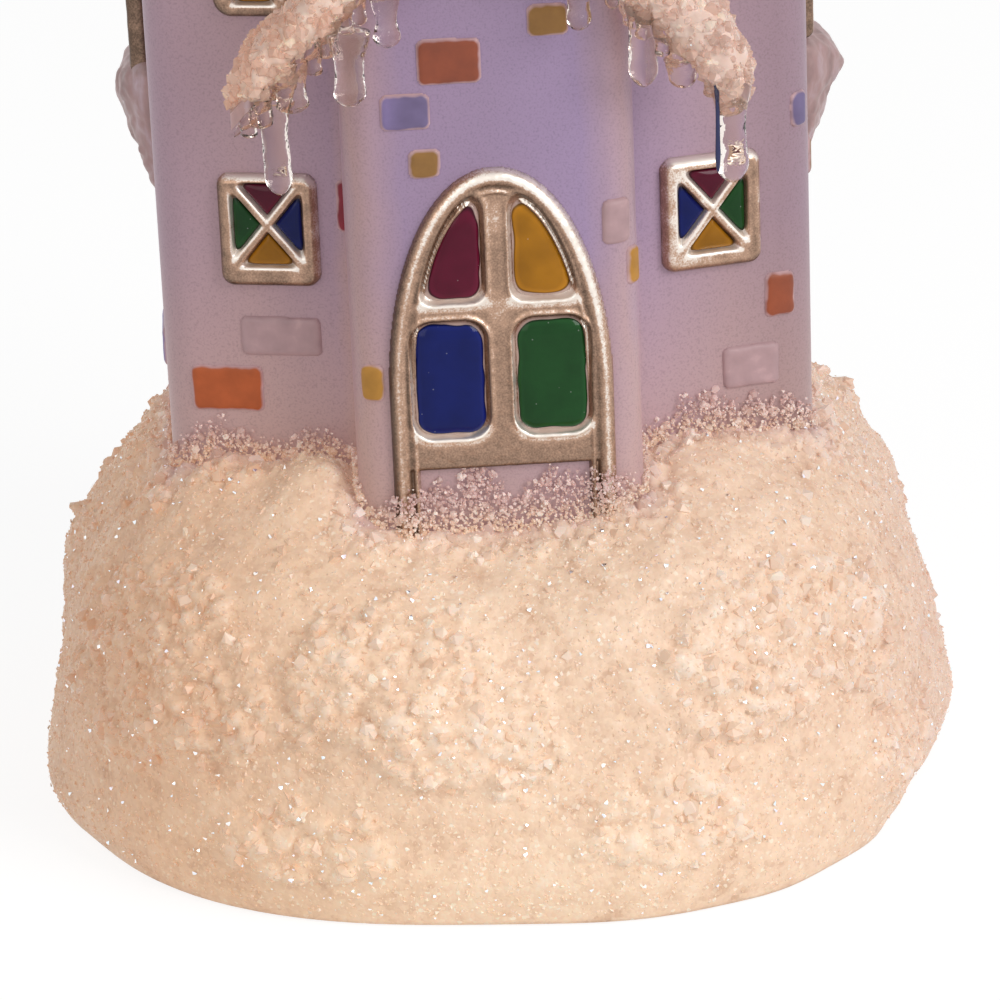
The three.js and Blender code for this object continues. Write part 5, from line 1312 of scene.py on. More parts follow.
# Bricks by paint: wall, place along it, height of the middle, width and height
BRICKS = {
    "orange": [
        ("bay", -5.6, 133.9, 9.7, 7.2), ("bay", 12.5, 196, 7, 5.6),
        ("left_wing", 9.9 - WING_LENGTH, 75.8, 11.6, 7.7), ("right_wing", WING_LENGTH - 5.8, 86.1, 5, 7.4),
        ("left_side", -14, 92, 11, 7), ("right_side", 14, 92, 11, 7), ("back", 26, 98, 11, 6.5),
    ],
    "yellow": [
        ("bay", 9.6, 139.6, 6.2, 5), ("bay", -10, 117.8, 4.9, 4.6), ("bay", -19.7, 82.4, 3.8, 6.1),
        ("bay", 22.3, 99, 3, 6.2), ("bay", -13.5, 210, 8.5, 6), ("left_side", 16, 142, 8, 6.5),
        ("right_side", -19, 106.5, 6, 6.4), ("right_side", -16, 142, 8, 6.5), ("back", -30, 84, 12, 7),
    ],
    "blue": [
        ("bay", -12.6, 126.2, 7.5, 5.7), ("bay", -6.5, 178, 8, 5.6),
        ("right_wing", WING_LENGTH - 1.6, 116.1, 3.4, 5.8), ("left_side", 10, 78, 12, 6.5),
        ("right_side", -10, 78, 12, 6.5), ("back", -24, 128, 10, 6.5),
    ],
    "red": [("left_wing", -0.1, 106.7, 1.9, 8.6)],
    "clear": [
        ("left_wing", -11.2, 84.8, 13, 6.5), ("bay", 19.2, 106.8, 4.6, 7.2),
        ("right_wing", WING_LENGTH - 10.9, 74.6, 9.4, 7.1), ("back", 30, 146, 9, 6.5),
    ],
}


# Bricks: the step of their grid, the grid's margin, the radius of a corner and the width of the edge
# that the paint leaves bare
BRICK_STEP = 0.22
BRICK_MARGIN = 0.6
BRICK_CORNER = 1.0
BARE_EDGE = 0.35


def brick_piece(name, bricks, relief, material):
    """Cushion-shaped bricks of one paint, each with its own wavy outline."""
    points, faces, paint = [], [], []
    for order, (wall, along, middle, width, height) in enumerate(bricks):
        grid = relief_grid(
            width / 2 + BRICK_MARGIN, -height / 2 - BRICK_MARGIN, height / 2 + BRICK_MARGIN, BRICK_STEP
        )
        x, z = grid
        flat = flat_points(x, z, order * 9.0)
        wave = noise_field(flat, 3.2, 11).reshape(x.shape)
        fine = noise_field(flat, 1.1, 12).reshape(x.shape)
        gap = box_distance(x, z, width / 2, height / 2, BRICK_CORNER) + 0.2 * wave
        out = relief * (rounded_edge(-gap, 1.3) + 0.12 * wave)
        out = np.where(gap < 0, np.maximum(out, 0.02), -0.3)
        inner = box_distance(x, z, width / 2 - BARE_EDGE, height / 2 - BARE_EDGE, 0.9)
        inner = inner + 0.3 * wave + 0.15 * fine
        faces.extend(shown_quads(gap < 0, len(points)).tolist())
        places = on_wall(wall, along + x.ravel(), middle + z.ravel(), out.ravel())
        points.extend((places * MM).tolist())
        paint.extend((0.5 - inner / 0.5).ravel().tolist())
    mesh = bpy.data.meshes.new(name)
    mesh.from_pydata(points, [], faces)
    store(mesh, "paint", np.clip(paint, 0, 1))
    close_back(mesh)
    mesh.materials.append(material)
    return show_mesh(name, mesh)


class CHURCH_OT_body(bpy.types.Operator):
    """Builds the frosted walls of the nave, the bay and the tower"""

    bl_idname = "village_church.body"
    bl_label = "Church Walls"

    def execute(self, context):
        walls = body_shell()
        walls.data.materials.clear()
        walls.data.materials.append(acrylic_finish(context.scene.church_body))
        walls.data.polygons.foreach_set("use_smooth", [True] * len(walls.data.polygons))
        walls.data.set_sharp_from_angle(angle=SHARP_ANGLE)
        settle(walls, "acrylic", "church_body")
        return {"FINISHED"}


class CHURCH_OT_bricks(bpy.types.Operator):
    """Builds the painted bricks that stand out of the walls"""

    bl_idname = "village_church.bricks"
    bl_label = "Painted Bricks"

    def execute(self, context):
        body = context.scene.church_body
        paints = {key: getattr(body, key) for key in ("orange", "yellow", "blue", "red")}
        paints["clear"] = body.edge
        for colour, bricks in BRICKS.items():
            cover = 0.0 if colour == "clear" else 1.0
            finish = paint_finish(f"{colour}_paint", body, paints[colour], cover)
            piece = brick_piece(f"bricks_{colour}", bricks, body.brick_relief / MM, finish)
            settle(piece, "acrylic", "church_body")
        return {"FINISHED"}


# Door, in millimetres from its middle line and from the ground

DOOR_CENTRE = 0.4
ARCH_SPRING = 80
ARCH_HALF_WIDTH = 15.8
ARCH_RISE = 35
MOULDING_RELIEF = 1.9
MOULDING_FOOT = 50
PANEL_FOOT = 67.7
PANEL_RELIEF = 1.4
PANE_SIDE = 13.45
PANE_HEAD_RISE = 33.7
MULLION_HALF = 2.5
LOW_PANE = (73.7, 92)
HIGH_PANE_FOOT = 95.9
PANE_DOME = 1.5
PANE_COLUMNS = 72
PANE_ROWS = 104


def door_arch_distance(x, z, grow):
    """Distance to the door's outline moved outwards, negative inside; it is open below."""
    head = ellipse_distance(x, z - ARCH_SPRING, ARCH_HALF_WIDTH + grow, ARCH_RISE + grow)
    return np.where(z < ARCH_SPRING, np.abs(x) - ARCH_HALF_WIDTH - grow, head)


def high_pane_distance(x, z):
    head = ellipse_distance(x, z - ARCH_SPRING, PANE_SIDE, PANE_HEAD_RISE)
    return both(both(head, MULLION_HALF - np.abs(x), 4.5), HIGH_PANE_FOOT - z, 3)


def low_pane_distance(x, z):
    middle = (PANE_SIDE + MULLION_HALF) / 2
    low, high = LOW_PANE
    return box_distance(
        np.abs(x) - middle, z - (low + high) / 2, (PANE_SIDE - MULLION_HALF) / 2, (high - low) / 2, 2.9
    )


MOULDING_SHIFT = 0.15
BEAD_PLACE = -1.85
BEAD_HALF = 0.6


def round_bar(away, half, height):
    """Relief of a half-round bar at a distance from its middle line."""
    return height * np.sqrt(np.clip(1 - (away / half) ** 2, 0, 1))


def door_frame_height(x, z, moulding):
    """Relief of the gold frame: round moulding, a bead inside it, and the panel round the panes."""
    arch = door_arch_distance(x, z, 0)
    round_part = round_bar(arch - MOULDING_SHIFT, moulding / 2, MOULDING_RELIEF)
    bead = round_bar(arch - BEAD_PLACE, BEAD_HALF, 1.75)
    panes = np.minimum(high_pane_distance(x, z), low_pane_distance(x, z))
    lip = 0.3 + (PANEL_RELIEF - 0.3) * smooth(0.05, 0.9, panes)
    lip = lip + 0.35 * bell(panes, 0.9, 0.4)
    panel = np.where((arch < 0) & (z > PANEL_FOOT), lip * rounded_edge(z - PANEL_FOOT, 0.8), 0)
    bead = np.where((z > PANEL_FOOT) & (panes > 0.1), bead * smooth(0.1, 0.8, panes), bead)
    frame = np.maximum(np.maximum(round_part, panel), bead)
    inside = (arch < MOULDING_SHIFT + moulding / 2) & (arch > BEAD_PLACE - BEAD_HALF)
    return np.where((z > MOULDING_FOOT) & (inside | (panel > 0)), np.maximum(frame, 0.1), -1)


# Where the painted light comes from across and up, and how much painted highlight or painted shade some
# places of the door get
LIGHT_SIDE = (0.5, 0.85)
RAIL_PAINTED_SHADE = 0.1
POST_PAINTED_HIGHLIGHT = 0.3
CROWN_PAINTED_HIGHLIGHT = 0.3
STREAK_PAINTED_HIGHLIGHT = 0.4
RIM_PAINTED_SHADE = 0.3
DOOR_STEP = 0.22
WINDOW_STEP = 0.2


def bell(value, middle, width):
    return np.exp(-(((value - middle) / width) ** 2))


def slope_lit_shade(height, step):
    """Painted light on gold, from 0 to 1: its upper right slopes are painted bright, its lower left ones in
    shade.
    """
    up, across = np.gradient(np.maximum(height, 0), step)
    tilt = np.sqrt(1 + across**2 + up**2)
    facing = -(LIGHT_SIDE[0] * across + LIGHT_SIDE[1] * up) / tilt
    return 0.42 + np.where(facing > 0, 0.85, 0.45) * facing


def lip_painted_highlight(gap, step, place, width):
    """Painted highlight on the lip round an opening: thin all round, broad where it lies below."""
    up, across = np.gradient(gap, step)
    below = smooth(0.1, 0.8, -up / np.maximum(np.hypot(up, across), 0.2))
    return (0.3 * bell(gap, 0.35, 0.35) + 0.75 * below * bell(gap, place, width)) * (gap > 0)


def dome(gap, high, reach, bed=0.3):
    """Relief of a drop of resin that fills an opening; gap is the distance to the opening's edge."""
    return np.where(gap < 0, bed + high * rounded_edge(-gap, reach), -1)


def door_painted_light(x, z, height, panes, moulding):
    """Painted light and shade on the door's gold at each place, from its shape and from the side the light
    comes from.
    """
    arch = door_arch_distance(x, z, 0)
    rail = smooth(PANEL_FOOT + 3.4, PANEL_FOOT, z) * (np.abs(x) < PANE_SIDE) * (z > PANEL_FOOT - 1)
    post = bell(x, 0, 1.6) * (bell(z, 94, 3) + bell(z, 109, 3))
    crown = smooth(88, 108, z + 0.4 * x) * bell(arch, 0.9, 0.8)
    bar = 2 * (arch - MOULDING_SHIFT) / moulding
    painted_shine = slope_lit_shade(height, DOOR_STEP) + lip_painted_highlight(panes, DOOR_STEP, 1.1, 0.75)
    painted_shine = painted_shine - RAIL_PAINTED_SHADE * rail + POST_PAINTED_HIGHLIGHT * post + CROWN_PAINTED_HIGHLIGHT * crown
    return painted_shine + STREAK_PAINTED_HIGHLIGHT * bell(bar, 0.15, 0.25) - RIM_PAINTED_SHADE * bell(np.abs(bar), 0.8, 0.25)


class CHURCH_OT_door(bpy.types.Operator):
    """Builds the gold door frame and its four resin panes"""

    bl_idname = "village_church.door"
    bl_label = "Door"

    def execute(self, context):
        trim = context.scene.church_trim
        moulding = trim.moulding / MM
        grid = relief_grid(
            ARCH_HALF_WIDTH + 2.2, MOULDING_FOOT - 0.3, ARCH_SPRING + ARCH_RISE + 2.2, DOOR_STEP
        )
        x, z = grid
        flat = flat_points(x, z)[:, [0, 2, 1]]
        dents = noise_field(flat, 1.6, 21) + 0.6 * noise_field(flat, 0.8, 22)
        height = door_frame_height(x, z, moulding)
        panes = np.minimum(high_pane_distance(x, z), low_pane_distance(x, z))
        # Painted highlights and shade on the door's gold, kept as an attribute for its finish
        painted_shine = {"crest": door_painted_light(x, z, height, panes, moulding)}
        height = np.where(height > 0.2, height + trim.hammer / MM * dents.reshape(x.shape), height)
        gold = gold_finish(trim, "door_gold", 1.3, 0.3)
        frame_piece = relief_piece("door_trim", "bay", DOOR_CENTRE, 0, grid, height, gold, painted_shine, 0.05)
        settle(frame_piece, "gold", "door_frame")
        high = (high_pane_distance, HIGH_PANE_FOOT, ARCH_SPRING + PANE_HEAD_RISE)
        low = (low_pane_distance, *LOW_PANE)
        for colour, side, (distance, foot, head) in (
            ("wine", -1, high), ("amber", 1, high), ("blue", -1, low), ("green", 1, low),
        ):
            xs = np.linspace(MULLION_HALF - 0.5, PANE_SIDE + 0.5, PANE_COLUMNS)
            x, z = np.meshgrid(xs, np.linspace(foot - 0.5, head + 0.5, PANE_ROWS))
            x = np.sort(side * x, axis=1)
            gap = distance(x, z)
            uneven = noise_field(flat_points(x, z)[:, [0, 2, 1]], 3, 23).reshape(x.shape)
            finish = resin_finish(f"{colour}_resin", getattr(trim, colour))
            piece = relief_piece(
                f"door_resin_{colour}", "bay", DOOR_CENTRE, 0, (x, z), dome(gap - 0.15, PANE_DOME, 3.4),
                finish, {"depth": np.clip(0.12 * uneven - gap / 3, 0, 1)},
            )
            settle(piece, f"{colour}_resin", f"door_pane_{colour}")
        return {"FINISHED"}


# Windows

SQUARE_HALF = (7.3, 8.5)
SQUARE_CORNER = 2.1
UPPER_CORNER = 3


# How much wider and taller each square frame is than its window, how far it sits below the window's
# middle, and how far the crossing of its bars sits above it
SQUARE_FRAMES = {
    "window_left": (0.65, 0.75, -0.2, 1.3), "window_right": (0.9, 0.9, 0.8, -0.3),
    "window_upper_left": (0.4, 0.2, 0, 0.5), "window_upper_right": (0.4, 0.2, 0, 0.5),
}


def square_window(name, half_x):
    """Distances to the outline, the opening and the bars, and the index of each pane."""
    half_z = SQUARE_HALF[1]
    corner = SQUARE_CORNER if half_x == SQUARE_HALF[0] else UPPER_CORNER
    wider, taller, drop, lift = SQUARE_FRAMES[name]

    def distances(x, z):
        outline = box_distance(x, z + drop, half_x + wider, half_z + taller, corner)
        z = z - lift
        opening = box_distance(x, z, half_x - FRAME_BAR, half_z - FRAME_BAR, max(corner - FRAME_BAR, 0.9))
        slope = math.atan2(half_z - FRAME_BAR, half_x - FRAME_BAR)
        first = x * math.sin(slope) - z * math.cos(slope)
        second = x * math.sin(slope) + z * math.cos(slope)
        bars = np.minimum(np.abs(first), np.abs(second))
        pane = np.where(first < 0, np.where(second > 0, 0, 1), np.where(second > 0, 2, 3))
        return outline, opening, bars, pane

    return distances


def arched_window(half, height):
    """The same distances for an arched window with a mullion and two cross bars."""

    def distances(x, z):
        outline = arch_distance(x, z, half, height)
        opening = arch_distance(x, z - FRAME_BAR, half - FRAME_BAR, height - 2 * FRAME_BAR)
        spring = height - half
        bars = np.minimum(np.abs(x), np.minimum(np.abs(z - spring), np.abs(z - spring / 2)))
        row = (z > spring / 2).astype(int) + (z > spring)
        pane = (row + (x > 0) * 2) % 4
        return outline, opening, bars, pane

    return distances


# Colours of a window's panes
LEFT_PANES = ("wine", "green", "blue", "amber")
RIGHT_PANES = ("wine", "blue", "green", "amber")
TALL_PANES = ("wine", "amber", "blue", "green")

# Each window: wall, place along it, its foot, half width, height, relief, pane colours
WINDOWS = {
    "window_left": ("left_wing", -12.1, 102.5, SQUARE_HALF[0], None, 2, LEFT_PANES),
    "window_right": ("right_wing", 13.1, 102.5, SQUARE_HALF[0], None, 2, RIGHT_PANES),
    "window_upper_left": ("left_wing", -12.2, 146.1, 6.2, None, 2, LEFT_PANES),
    "window_upper_right": ("right_wing", 12.2, 146.1, 6.2, None, 2, RIGHT_PANES),
    "window_side_left": ("left_side", 0, 121.5, 8, 32, 3, TALL_PANES),
    "window_side_right": ("right_side", 0, 121.5, 8, 32, 3, TALL_PANES),
    "window_back": ("back", 0, 92, 11, 46, 2, TALL_PANES),
    "window_tower": ("bay", 0, 187, 7, 26, 2, TALL_PANES),
}


# How wide the bars of a window are beside its frame, and how round the corners of its openings are
BAR_SHARE = 0.52
OPENING_ROUNDING = 1.4
# Painted light and shade on some windows' gold: how much brighter it is, and how much of that each
# millimetre to the right takes away
WINDOW_PAINTED_LIGHT = {"window_side_left": (-0.7, 0), "window_right": (0.2, 0.03)}


def window_pieces(name, finishes, gold):
    """A window's gold frame and its four panes."""
    wall, along, foot, half, height, relief, colours = WINDOWS[name]
    if height is None:
        distances = square_window(name, half)
        grid = relief_grid(half + 1.2, -SQUARE_HALF[1] - 2, SQUARE_HALF[1] + 1.2, WINDOW_STEP)
    else:
        distances = arched_window(half, height)
        grid = relief_grid(half + 0.4, -0.4, height + 0.4, WINDOW_STEP * 1.4)
    x, z = grid
    outline, opening, bars, pane = distances(x, z)
    cell = both(opening, FRAME_BAR * BAR_SHARE - bars, OPENING_ROUNDING)
    wave = noise_field(flat_points(x, z), 2.2, 31).reshape(x.shape)
    frame = 0.4 + (relief - 0.4) * smooth(-0.1, 0.55, cell)
    frame = frame * rounded_edge(-outline, 1.4) + 0.08 * wave
    frame = np.where(outline < 0, np.maximum(frame, 0.05), -1)
    level, loss = WINDOW_PAINTED_LIGHT.get(name, (0, 0))
    # Painted highlights and shade on the frame's gold, from its slopes and the lips of its openings
    painted_shine = slope_lit_shade(frame, WINDOW_STEP) + lip_painted_highlight(cell, WINDOW_STEP, 0.4, 0.4)
    painted_shine = {"crest": painted_shine + 0.2 * wave + level - loss * x}
    trim_piece = relief_piece(f"{name}_trim", wall, along, foot, grid, frame, gold, painted_shine, 0.05)
    settle(trim_piece, "gold", f"{name}_frame")
    for order, colour in enumerate(colours):
        gap = np.where(pane == order, cell, 1)
        piece = relief_piece(
            f"{name}_{colour}", wall, along, foot, grid, dome(gap - 0.25, relief - 0.9, 2.0, 0.45),
            finishes[colour], {"depth": np.clip(0.09 - gap / 3, 0, 1)},
        )
        settle(piece, "window_resin", f"{name}_panes")


class CHURCH_OT_windows(bpy.types.Operator):
    """Builds the gold window frames and their resin panes"""

    bl_idname = "village_church.windows"
    bl_label = "Windows"

    def execute(self, context):
        trim = context.scene.church_trim
        gold = gold_finish(trim, "window_gold", 2.0, 0.3)
        finishes = {
            colour: resin_finish(f"window_{colour}", getattr(trim, colour) * 0.8)
            for colour in ("wine", "amber", "blue", "green")
        }
        for name in WINDOWS:
            window_pieces(name, finishes, gold)
        return {"FINISHED"}


# Ice


def ice_profile(share):
    """Radius of an icicle as a share of its root's, from the root at 0 to the tip at 1."""
    body = 1.12 - 0.34 * np.minimum(share / 0.7, 1) ** 0.9
    bulb = 0.07 * np.exp(-((share - 0.84) / 0.1) ** 2)
    tip = np.sqrt(np.clip(1 - ((share - 0.84) / 0.16) ** 2, 0, 1))
    return np.where(share < 0.84, body + bulb, (body + bulb) * tip)


def icicle(points, faces, place, length, radius, seed, sides=20, rows=26):
    """Adds one icicle, hanging from a place, to lists of points and faces."""
    dice = random.Random(seed)
    lean_x, lean_y = dice.uniform(-0.05, 0.05), dice.uniform(-0.03, 0.03)
    bulge, shift = dice.uniform(0.06, 0.14), dice.uniform(0, 6)
    first = len(points)
    shares = np.linspace(0, 0.995, rows)
    for share in shares:
        wave = 1 + bulge * math.sin(shift + 9 * share)
        size = radius * float(ice_profile(share)) * wave
        for k in range(sides):
            angle = 2 * math.pi * k / sides
            lobe = 1 + 0.07 * math.sin(2 * angle + shift)
            points.append((
                place[0] + size * lobe * math.cos(angle) + lean_x * share * length,
                place[1] + size * lobe * math.sin(angle) + lean_y * share * length,
                place[2] - share * length,
            ))
    add_tube(faces, first, sides, rows, downwards=True)


# Icicles of the porch: place across, level of the root, level of the tip and radius in millimetres
PORCH_ICICLES = [
    (-32.7, 131.5, 116.1, 2.25), (-34.2, 133, 126.8, 1.9), (-29.9, 137.5, 128.9, 2.75),
    (-24.0, 144, 137.2, 2.0), (-20.6, 141, 129.6, 2.6), (-15.0, 150, 138.3, 2.4), (-7.5, 159, 148.5, 2.2),
    (0, 164, 151, 2.3), (7, 159, 148, 2.2), (14, 152, 139.5, 2.4), (23.3, 146, 130.1, 2.35),
    (29.3, 138, 129.6, 2.6), (36.6, 131.5, 114.2, 2.6),
]


# How many small drops hang between the icicles
SMALL_DROPS = 26


def gable_line(x, half, eaves, pitch, lift):
    return eaves + (half - np.abs(x)) * math.tan(pitch) + lift


def outward(mesh):
    """Turns all faces of closed parts outwards."""
    shape = bmesh.new()
    shape.from_mesh(mesh)
    bmesh.ops.recalc_face_normals(shape, faces=shape.faces)
    shape.to_mesh(mesh)
    shape.free()


def add_ice_rail(points, faces):
    """Adds the uneven bar of ice that follows both rakes of the porch."""
    first, sides, rows = len(points), 14, 161
    for x in np.linspace(-PORCH_HALF_SPAN + 0.4, PORCH_HALF_SPAN - 0.4, rows):
        wave = noise.noise(Vector((x / 4, 3.1, 0)))
        middle = gable_line(x, PORCH_HALF_SPAN, PORCH_EAVES, PORCH_PITCH, -1.7 + 0.3 * wave)
        ends = min(1, math.sqrt(max(PORCH_HALF_SPAN - abs(x), 0.05) / 3))
        deep, tall = 1.15 * ends, (1.15 + 0.25 * wave) * ends
        for angle in np.linspace(0, 2 * math.pi, sides, endpoint=False):
            y = PORCH_FRONT + 1.5 + deep * math.cos(angle)
            points.append((x, y, middle + tall * math.sin(angle)))
    add_tube(faces, first, sides, rows)


class CHURCH_OT_icicles(bpy.types.Operator):
    """Builds the icicles and the thin rail of ice under the porch's snow"""

    bl_idname = "village_church.icicles"
    bl_label = "Icicles"

    def execute(self, context):
        ice = context.scene.church_ice
        length, radius = ice.length / MM, ice.radius / MM
        points, faces = [], []
        for order, (x, root, tip, size) in enumerate(PORCH_ICICLES):
            icicle(points, faces, (x, PORCH_FRONT + 0.6, root), root - tip, size, order, sides=28, rows=36)
        dice = random.Random(ice.seed)
        for order in range(SMALL_DROPS):
            share = 2 * (order + dice.uniform(0.1, 0.9)) / SMALL_DROPS - 1
            x = PORCH_HALF_SPAN * 0.95 * share
            size, drop = radius * dice.uniform(0.7, 1.15), length * dice.uniform(0.25, 0.55)
            top = gable_line(x, PORCH_HALF_SPAN, PORCH_EAVES, PORCH_PITCH, 0) - size * 0.6
            place = (x, PORCH_FRONT + dice.uniform(0.2, 2.5), top + 1.6)
            icicle(points, faces, place, drop + 1.6, size, 100 + order, sides=16, rows=18)
        add_ice_rail(points, faces)
        piece = new_piece("porch_ice", points, faces, ice_finish())
        outward(piece.data)
        settle(piece, "ice", "porch_icicles")
        # A dark blue sliver inside the right icicle paints the blue seen refracted through it
        points, faces = [], []
        x, root, tip, size = PORCH_ICICLES[-1]
        icicle(points, faces, (x - 0.8 * size, PORCH_FRONT - 0.6, root + 3), root + 1 - tip, 0.42, 7)
        streak = plain_finish("ice_streak", ice.streak, 0.12)
        settle(new_piece("ice_streak", points, faces, streak), "ice", "porch_icicles")
        return {"FINISHED"}


# Porch


def snow_ridge(columns, rows, place):
    """A closed drift of snow; place gives a point from u along it and v across its section."""
    points, faces, covers = [], [], []
    for i in range(rows):
        for k in range(columns):
            point, cover = place(i / (rows - 1), k / columns)
            points.append(point)
            covers.append(cover)
    add_tube(faces, 0, columns, rows)
    return points, faces, covers


def snow_from(name, drift, material, lumps, seed):
    """A piece of snow, its surface roughened along its normals."""
    points, faces, covers = drift
    piece = new_piece(name, points, faces, material)
    outward(piece.data)
    mesh = piece.data
    places, covers = np.array(points), np.array(covers)
    normals = np.zeros(len(points) * 3)
    mesh.vertices.foreach_get("normal", normals)
    rough = noise_field(places, 6, seed)
    chunks = np.abs(noise_field(places, 2.4, seed + 1))
    rise = lumps * (0.6 * rough + 0.8 * chunks) * np.minimum(covers + 0.15, 1)
    places = places + normals.reshape(-1, 3) * rise[:, None]
    mesh.vertices.foreach_set("co", (places * MM).ravel())
    mesh.update()
    # The height attribute paints shade: darker between chunks, lighter on them
    store(mesh, "height", np.clip(0.5 + 0.4 * rough + 0.3 * (chunks - 0.3), 0, 1))
    store(mesh, "cover", covers)
    return piece


def add_grains(prefix, ground, snow, crystals, seed, node):
    """Fine grains, crystals and flakes on a drift of snow."""
    stock = grain_stock()
    frost = Vector(snow.frost)
    loose = scatter_tree(
        "drift_grains", grain_finish(snow, "drift_grains", frost * 1.06, frost * 0.94, 0.5)
    )
    flakes = scatter_tree("drift_flakes", glitter_finish(), lying=True)
    small, large, flake = snow.smallest, snow.largest, snow.glitter
    chunky = DRIFT_CRYSTAL_DENSITY * crystals
    strew_kinds((
        (f"{prefix}_fine", "fine", loose, DRIFT_FINE_DENSITY, small, large * 1.3, 0.0, "cover"),
        (f"{prefix}_crystals", "coarse", loose, chunky, 1 * MM, 3.6 * MM, -0.2, "cover"),
        (f"{prefix}_glitter", "flake", flakes, DRIFT_FLAKE_DENSITY, flake * 0.7, flake * 1.2, 0.3, "cover"),
    ), stock, ground, node, seed, 0)
    clear_stock(stock)


def lay_drift(prefix, node, drift, finish, lumps, crystals, snow, seed):
    """Lays a drift of snow with its grains in place of a solid of the frame."""
    piece = snow_from(f"{prefix}_drift", drift, finish, lumps, seed + 21)
    settle(piece, "snow", node)
    add_grains(f"{prefix}_grains", piece.data, snow, crystals, snow.seed + seed, node)


# Snow of the porch: how far it hangs out in front, half its depth, the middle of its section above
# the rake and half its height, and how much softer its ridge is
PORCH_SNOW_OVERHANG = 1.4
PORCH_SNOW_HALF_DEPTH = 6.4
PORCH_SNOW_MIDDLE = 3.3
PORCH_SNOW_HALF_HEIGHT = 4.3
PORCH_RIDGE_SOFTNESS = 1.6


class CHURCH_OT_porch(bpy.types.Operator):
    """Gives the porch's gable its finish and builds the snow that lies on it"""

    bl_idname = "village_church.porch"
    bl_label = "Porch"

    def execute(self, context):
        snow = context.scene.church_snow
        paint_node("porch_roof", frost_finish(snow))
        half = PORCH_HALF_SPAN + 0.9

        def place(u, v):
            x = half * (2 * u - 1) + 1.2 * (1 - u) ** 4
            angle = 2 * math.pi * v
            ends = min(1, math.sqrt(max(1 - abs(2 * u - 1), 0.0) * half / 4 + 0.02))
            light_end = float(smooth(-20, -32, x))
            across, up = math.cos(angle), math.sin(angle)
            heavy = float(smooth(26, 35, x))
            deep = (PORCH_SNOW_HALF_DEPTH + 0.8 * heavy) * ends * np.sign(across) * abs(across) ** 0.7
            y = PORCH_FRONT - PORCH_SNOW_OVERHANG + PORCH_SNOW_HALF_DEPTH + deep
            middle = PORCH_SNOW_MIDDLE + 0.2 * heavy + 0.2 * light_end
            reach = PORCH_SNOW_HALF_HEIGHT + 2.3 * heavy - 0.6 * light_end
            lift = middle + reach * ends * np.sign(up) * abs(up) ** 0.7
            z = gable_line(x, PORCH_HALF_SPAN, PORCH_EAVES, PORCH_PITCH, 0) + lift
            soften = PORCH_RIDGE_SOFTNESS * math.exp(-((x / 4) ** 2))
            return (x, y, z - soften), 1.0 if y < BAY_FRONT + 1 or up > 0 else 0.2

        frost = Vector(snow.frost)
        finish = snow_finish(frost, frost * 0.75, snow, "porch_snow", 0.35)
        drift = snow_ridge(56, 300, place)
        lay_drift("porch", "porch_snow", drift, finish, 1.2, 14.0, snow, 20)
        return {"FINISHED"}


# Sill snow: how far the lump stands out at distances below its top, in millimetres
SILL_TOP = 124.3
SILL_PROFILE = (
    (0, 1.2), (0.7, 2.6), (1.6, 3.7), (3, 4.6), (4.6, 5.3), (6.2, 5.6), (7.6, 5.4), (9.2, 4.7), (11, 4.1),
    (13.3, 3.7), (16, 3.1), (19.3, 2.1), (22, 1.0), (23.8, 0.1),
)
SILL_HALF_WIDTH = 10


class CHURCH_OT_sills(bpy.types.Operator):
    """Builds the lumps of frozen snow under the side windows"""

    bl_idname = "village_church.sills"
    bl_label = "Sill Snow"

    def execute(self, context):
        finish = bpy.data.materials["frozen_snow"]
        below, far = zip(*SILL_PROFILE)
        for side, sign, thick, drop in (("left", -1, 1.0, 0), ("right", 1, 1.38, 2.3)):

            def place(u, v):
                depth = below[-1] * u
                angle = 2 * math.pi * v
                width = SILL_HALF_WIDTH * (1 - 0.55 * u**1.5) * min(1, math.sqrt(u * 12) + 0.2)
                ripple = 1 + 0.07 * math.sin(angle * 7 + 4 * u) * min(u * 4, 1)
                out = float(np.interp(depth, below, far)) * thick * max(math.sin(angle), -0.05) * ripple
                along = width * math.cos(angle)
                x, y = sign * (NAVE_HALF_WIDTH + out), SIDE_MIDDLE + sign * along
                return (x, y, SILL_TOP - drop - depth), 1.0

            lump = snow_from(f"sill_drift_{side}", snow_ridge(96, 60, place), finish, 0.9, 51)
            settle(lump, "snow", f"sill_snow_{side}")
        return {"FINISHED"}


# Roof and tower


def paint_node(name, material):
    """Gives a shown solid of the frame its material."""
    node = frame["nodes"][name]
    node.data.materials.clear()
    node.data.materials.append(material)


# Snow of the roof: how far it hangs over, how high it lies above the eaves' line and its thickness
ROOF_SNOW_OVERHANG = 3.2
ROOF_SNOW_LIFT = 3.9
ROOF_SNOW_THICKNESS = 4.6


